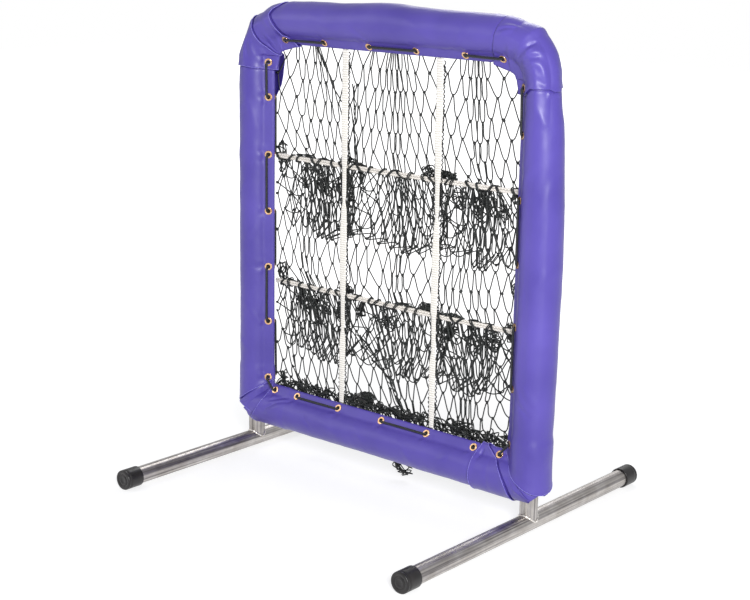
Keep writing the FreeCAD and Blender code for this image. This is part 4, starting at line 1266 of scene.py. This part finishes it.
def make_net():
    cord = twine()
    fin_top = rail_z - 46.0
    top = row_net(fin_top, upper_rope_z - 4, 15, [
        (0.0, [(-262, 12, 1.5), (-212, 14, 4.0), (-56, 14, 2.0), (0, 20, 5.0), (196, 26, 3.0)]),
        (0.3, [(-248, 14, 2.0), (-165, 18, 3.0), (-112, 12, 1.5), (4, 22, 4.0), (206, 30, 3.0)]),
        (0.62, [(-235, 20, 1.5), (-130, 20, 3.0), (16, 34, 2.5), (216, 26, 3.0)]),
        (1.0, [(-205, 40, 2.0), (-150, 16, 2.0), (40, 40, 1.4), (212, 30, 2.5)]),
        (0.0, [(-225, 40, 3.0), (-150, 20, 2.0), (-20, 30, 2.0), (60, 30, 1.5), (205, 36, 3.5)])], 101)
    middle = row_net(upper_rope_z - 4, lower_rope_z - 4, 15, [
        (0.0, [(-248, 20, 2.0), (-190, 26, 2.5), (24, 22, 4.0), (205, 36, 3.0)]),
        (0.35, [(-250, 10, 3.0), (-212, 26, 3.0), (22, 16, 4.0), (200, 30, 3.0)]),
        (0.62, [(-246, 10, 4.0), (-205, 24, 2.0), (4, 14, 6.0), (205, 34, 2.5)]),
        (1.0, [(-225, 40, 2.0), (-150, 26, 2.0), (20, 30, 2.0), (190, 36, 2.0)]),
        (0.0, [(-245, 40, 3.0), (-150, 26, 2.5), (60, 40, 2.0), (175, 30, 3.0)])], 202)
    bottom = row_net(lower_rope_z - 4, crossbar_z + 56, 13, [
        (0.0, [(-262, 18, 3.0), (-180, 24, 2.0), (-40, 24, 3.0), (135, 18, 3.0), (240, 24, 2.0)]),
        (0.35, [(-268, 10, 3.0), (-166, 20, 1.5), (-4, 16, 5.0), (182, 14, 4.0), (240, 20, 2.0)]),
        (0.6, [(-265, 10, 3.0), (-160, 20, 1.5), (40, 16, 5.0), (195, 18, 4.0)]),
        (1.0, [(-200, 60, 1.0), (0, 60, 1.0), (190, 50, 1.0)]),
        (0.0, [(-200, 60, 1.0), (0, 60, 1.0), (190, 50, 1.0)])], 303, behind_bar=True)
    for name, (net, lip_row) in (("top", top), ("middle", middle), ("bottom", bottom)):
        rng = net.rng
        parts = [tubes(bar_paths(net, 8), twine_r, 5), knot_lumps(net.at, knot_r, rng)]
        if name != "bottom":
            parts.append(tubes(cross_paths(net, 8, lip_row), twine_r, 5))
        points, faces = joined(parts)
        nodes = [f"{name}_{column}_pocket" for column in ("left", "middle", "right")]
        add_piece(f"knotted_net_{name}_row", points, faces, cord, "net_twine", replaces=nodes)
    rng = np.random.default_rng(404)
    rope_snarls = [
        (-302, 15, 668, 16, 22, 2), (-306, 18, 640, 12, 29, 2), (-236, 14, 655, 30, 6, 3),
        (-180, 14, 652, 28, 6, 3), (-120, 15, 660, 20, 10, 3), (-92, 14, 652, 28, 7, 3),
        (-50, 14, 648, 21, 6, 2), (92, 16, 664, 22, 12, 3), (132, 14, 660, 30, 10, 5),
        (150, 14, 652, 18, 6, 3), (206, 14, 648, 23, 5, 2), (300, 16, 640, 14, 22, 3),
        (-304, 18, 396, 16, 31, 3), (-270, 16, 382, 25, 10, 3), (-120, 15, 392, 22, 12, 4),
        (-90, 14, 380, 30, 7, 5), (-30, 14, 377, 37, 6, 3), (40, 15, 382, 39, 11, 4),
        (96, 15, 390, 30, 13, 6), (150, 14, 384, 39, 10, 5), (226, 14, 384, 34, 6, 3),
        (302, 16, 376, 16, 29, 3), (300, 20, 470, 12, 26, 2), (306, 20, 300, 10, 36, 3)]
    pocket_snarls = [
        (-250, 34, 612, 28, 31, 2), (-196, 34, 606, 37, 36, 3), (-152, 36, 600, 18, 34, 3),
        (-96, 30, 628, 12, 17, 2), (100, 30, 622, 16, 22, 3), (148, 34, 614, 21, 26, 3),
        (206, 36, 606, 34, 41, 4), (250, 34, 600, 21, 36, 2), (-256, 36, 344, 30, 36, 4),
        (-206, 36, 330, 30, 48, 3), (-150, 34, 342, 21, 31, 3), (-92, 32, 354, 14, 22, 3),
        (-20, 34, 344, 30, 26, 3), (140, 32, 352, 23, 29, 4), (196, 34, 340, 28, 41, 3),
        (240, 34, 346, 25, 29, 3)]
    low_band = [(x + rng.uniform(-5, 5), rng.uniform(2, 28), 156 + rng.uniform(-6, 6), 20, 15, 1)
                for x in np.arange(-306, 308, 8.0)]
    low_band += [(-62, 20, 172, 28, 13, 4), (-300, 16, 172, 14, 14, 2), (190, 20, 168, 32, 11, 2),
                 (10, 55, 26, 30, 18, 3)]
    points, faces = tubes(tangle_paths(rope_snarls + pocket_snarls, rng), twine_r, 5)
    add_piece("net_gathers", points, faces, cord, "net_twine")
    points, faces = tubes(tangle_paths(low_band, rng), twine_r, 5)
    add_piece("net_low_edge", points, faces, cord, "net_twine")
    points, faces = joined([tubes(lashing_paths(rng), twine_r, 6), tubes(seam_paths(rng), twine_r * 0.9, 5)])
    add_piece("net_lashings", points, faces, cord, "net_twine")


# Surroundings

def put(name, data, right, up, back, place):
    """An object in the scene that looks away from back, as cameras and lamps do."""
    made = link(name, data)
    pose = np.eye(4)
    pose[:3] = np.stack([right, up, back, place], axis=1)
    made.matrix_world = Matrix(pose.tolist())
    return made


def make_camera():
    """The photograph's camera: turned 40.5 degrees to the left of straight ahead, tipped 13.9
    degrees down and rolled by 1 degree."""
    yaw, pitch, roll = 0.7072, 0.2425, 0.0177
    forward = np.array([-math.sin(yaw) * math.cos(pitch), math.cos(yaw) * math.cos(pitch), -math.sin(pitch)])
    level = np.array([math.cos(yaw), math.sin(yaw), 0.0])
    rise = np.cross(level, forward)
    right = math.cos(roll) * level + math.sin(roll) * rise
    up = -math.sin(roll) * level + math.cos(roll) * rise
    data = bpy.data.cameras.new("camera")
    data.sensor_width = 36.0
    data.lens = 1541.93 / 750 * 36.0
    data.clip_end = 50.0
    bpy.context.scene.camera = put("camera", data, right, up, -forward, (1.93243, -2.28525, 1.13491))


def make_light(name, place, size, power):
    """A round lamp that looks at the middle of the object."""
    data = bpy.data.lights.new(name, "AREA")
    data.shape = "DISK"
    data.size = size
    data.energy = power
    back = unit(np.array(place, float) - np.array([0.0, 0.0, 0.45]))
    side = unit(np.cross([0, 0, 1.0], back))
    put(name, data, side, np.cross(back, side), back, place)


def white_share(tree, mirrored, fade=None):
    """How far a surface shows as plain white: all of it to the camera, less where it fades, and a
    share of it in mirrors."""
    rays = node(tree, "LightPath")
    seen = rays.outputs["Is Camera Ray"]
    if fade is not None:
        seen = node(tree, "Math", [(0, seen), (1, fade)], operation="MULTIPLY").outputs[0]
    glossy = times(tree, rays.outputs["Is Glossy Ray"], mirrored)
    return node(tree, "Math", [(0, seen), (1, glossy)], operation="MAXIMUM").outputs[0]


def make_studio():
    """A white floor that keeps a soft shadow, a white world for the camera, and three lamps."""
    material = bpy.data.materials.new("white_studio_floor")
    material.use_nodes = True
    tree = material.node_tree
    tree.nodes.clear()
    paint = node(tree, "BsdfDiffuse", Color=linear("#F2F2F2"))
    glow = node(tree, "Emission", Color=linear("#FFFFFF"), Strength=1.45)
    place = node(tree, "TexCoord").outputs["Object"]
    away = node(tree, "VectorMath", [(0, place)], operation="LENGTH")
    fade = node(tree, "MapRange", [("Value", away.outputs["Value"])], From_Min=0.5, From_Max=2.0, To_Min=0.46)
    share = white_share(tree, 0.6, fade.outputs["Result"])
    mix = node(tree, "MixShader", [(0, share), (1, paint.outputs[0]), (2, glow.outputs[0])])
    node(tree, "OutputMaterial", [("Surface", mix.outputs[0])])
    mesh = bpy.data.meshes.new("floor")
    mesh.from_pydata([(-9, -9, 0), (9, -9, 0), (9, 9, 0), (-9, 9, 0)], [], [(0, 1, 2, 3)])
    mesh.materials.append(material)
    link("floor", mesh)
    world = bpy.data.worlds.new("studio")
    bpy.context.scene.world = world
    world.use_nodes = True
    tree = world.node_tree
    tree.nodes.clear()
    plain = node(tree, "Background", Color=linear("#F4F6FA"), Strength=0.4)
    white = node(tree, "Background", Color=linear("#FFFFFF"), Strength=1.0)
    mix = node(tree, "MixShader", [(0, white_share(tree, 0.5)), (1, plain.outputs[0]), (2, white.outputs[0])])
    node(tree, "OutputWorld", [("Surface", mix.outputs[0])])
    make_light("key", (2.5, -2.2, 1.6), 0.9, 100.0)
    make_light("fill", (-2.4, -2.4, 1.7), 2.0, 16.0)
    make_light("rim", (-1.2, 2.4, 2.6), 1.6, 30.0)


make_camera()
make_studio()
make_covers()
make_feet()
make_laces()
make_ropes()
make_straps()
make_net()

bpy.context.scene.view_settings.view_transform = "Standard"
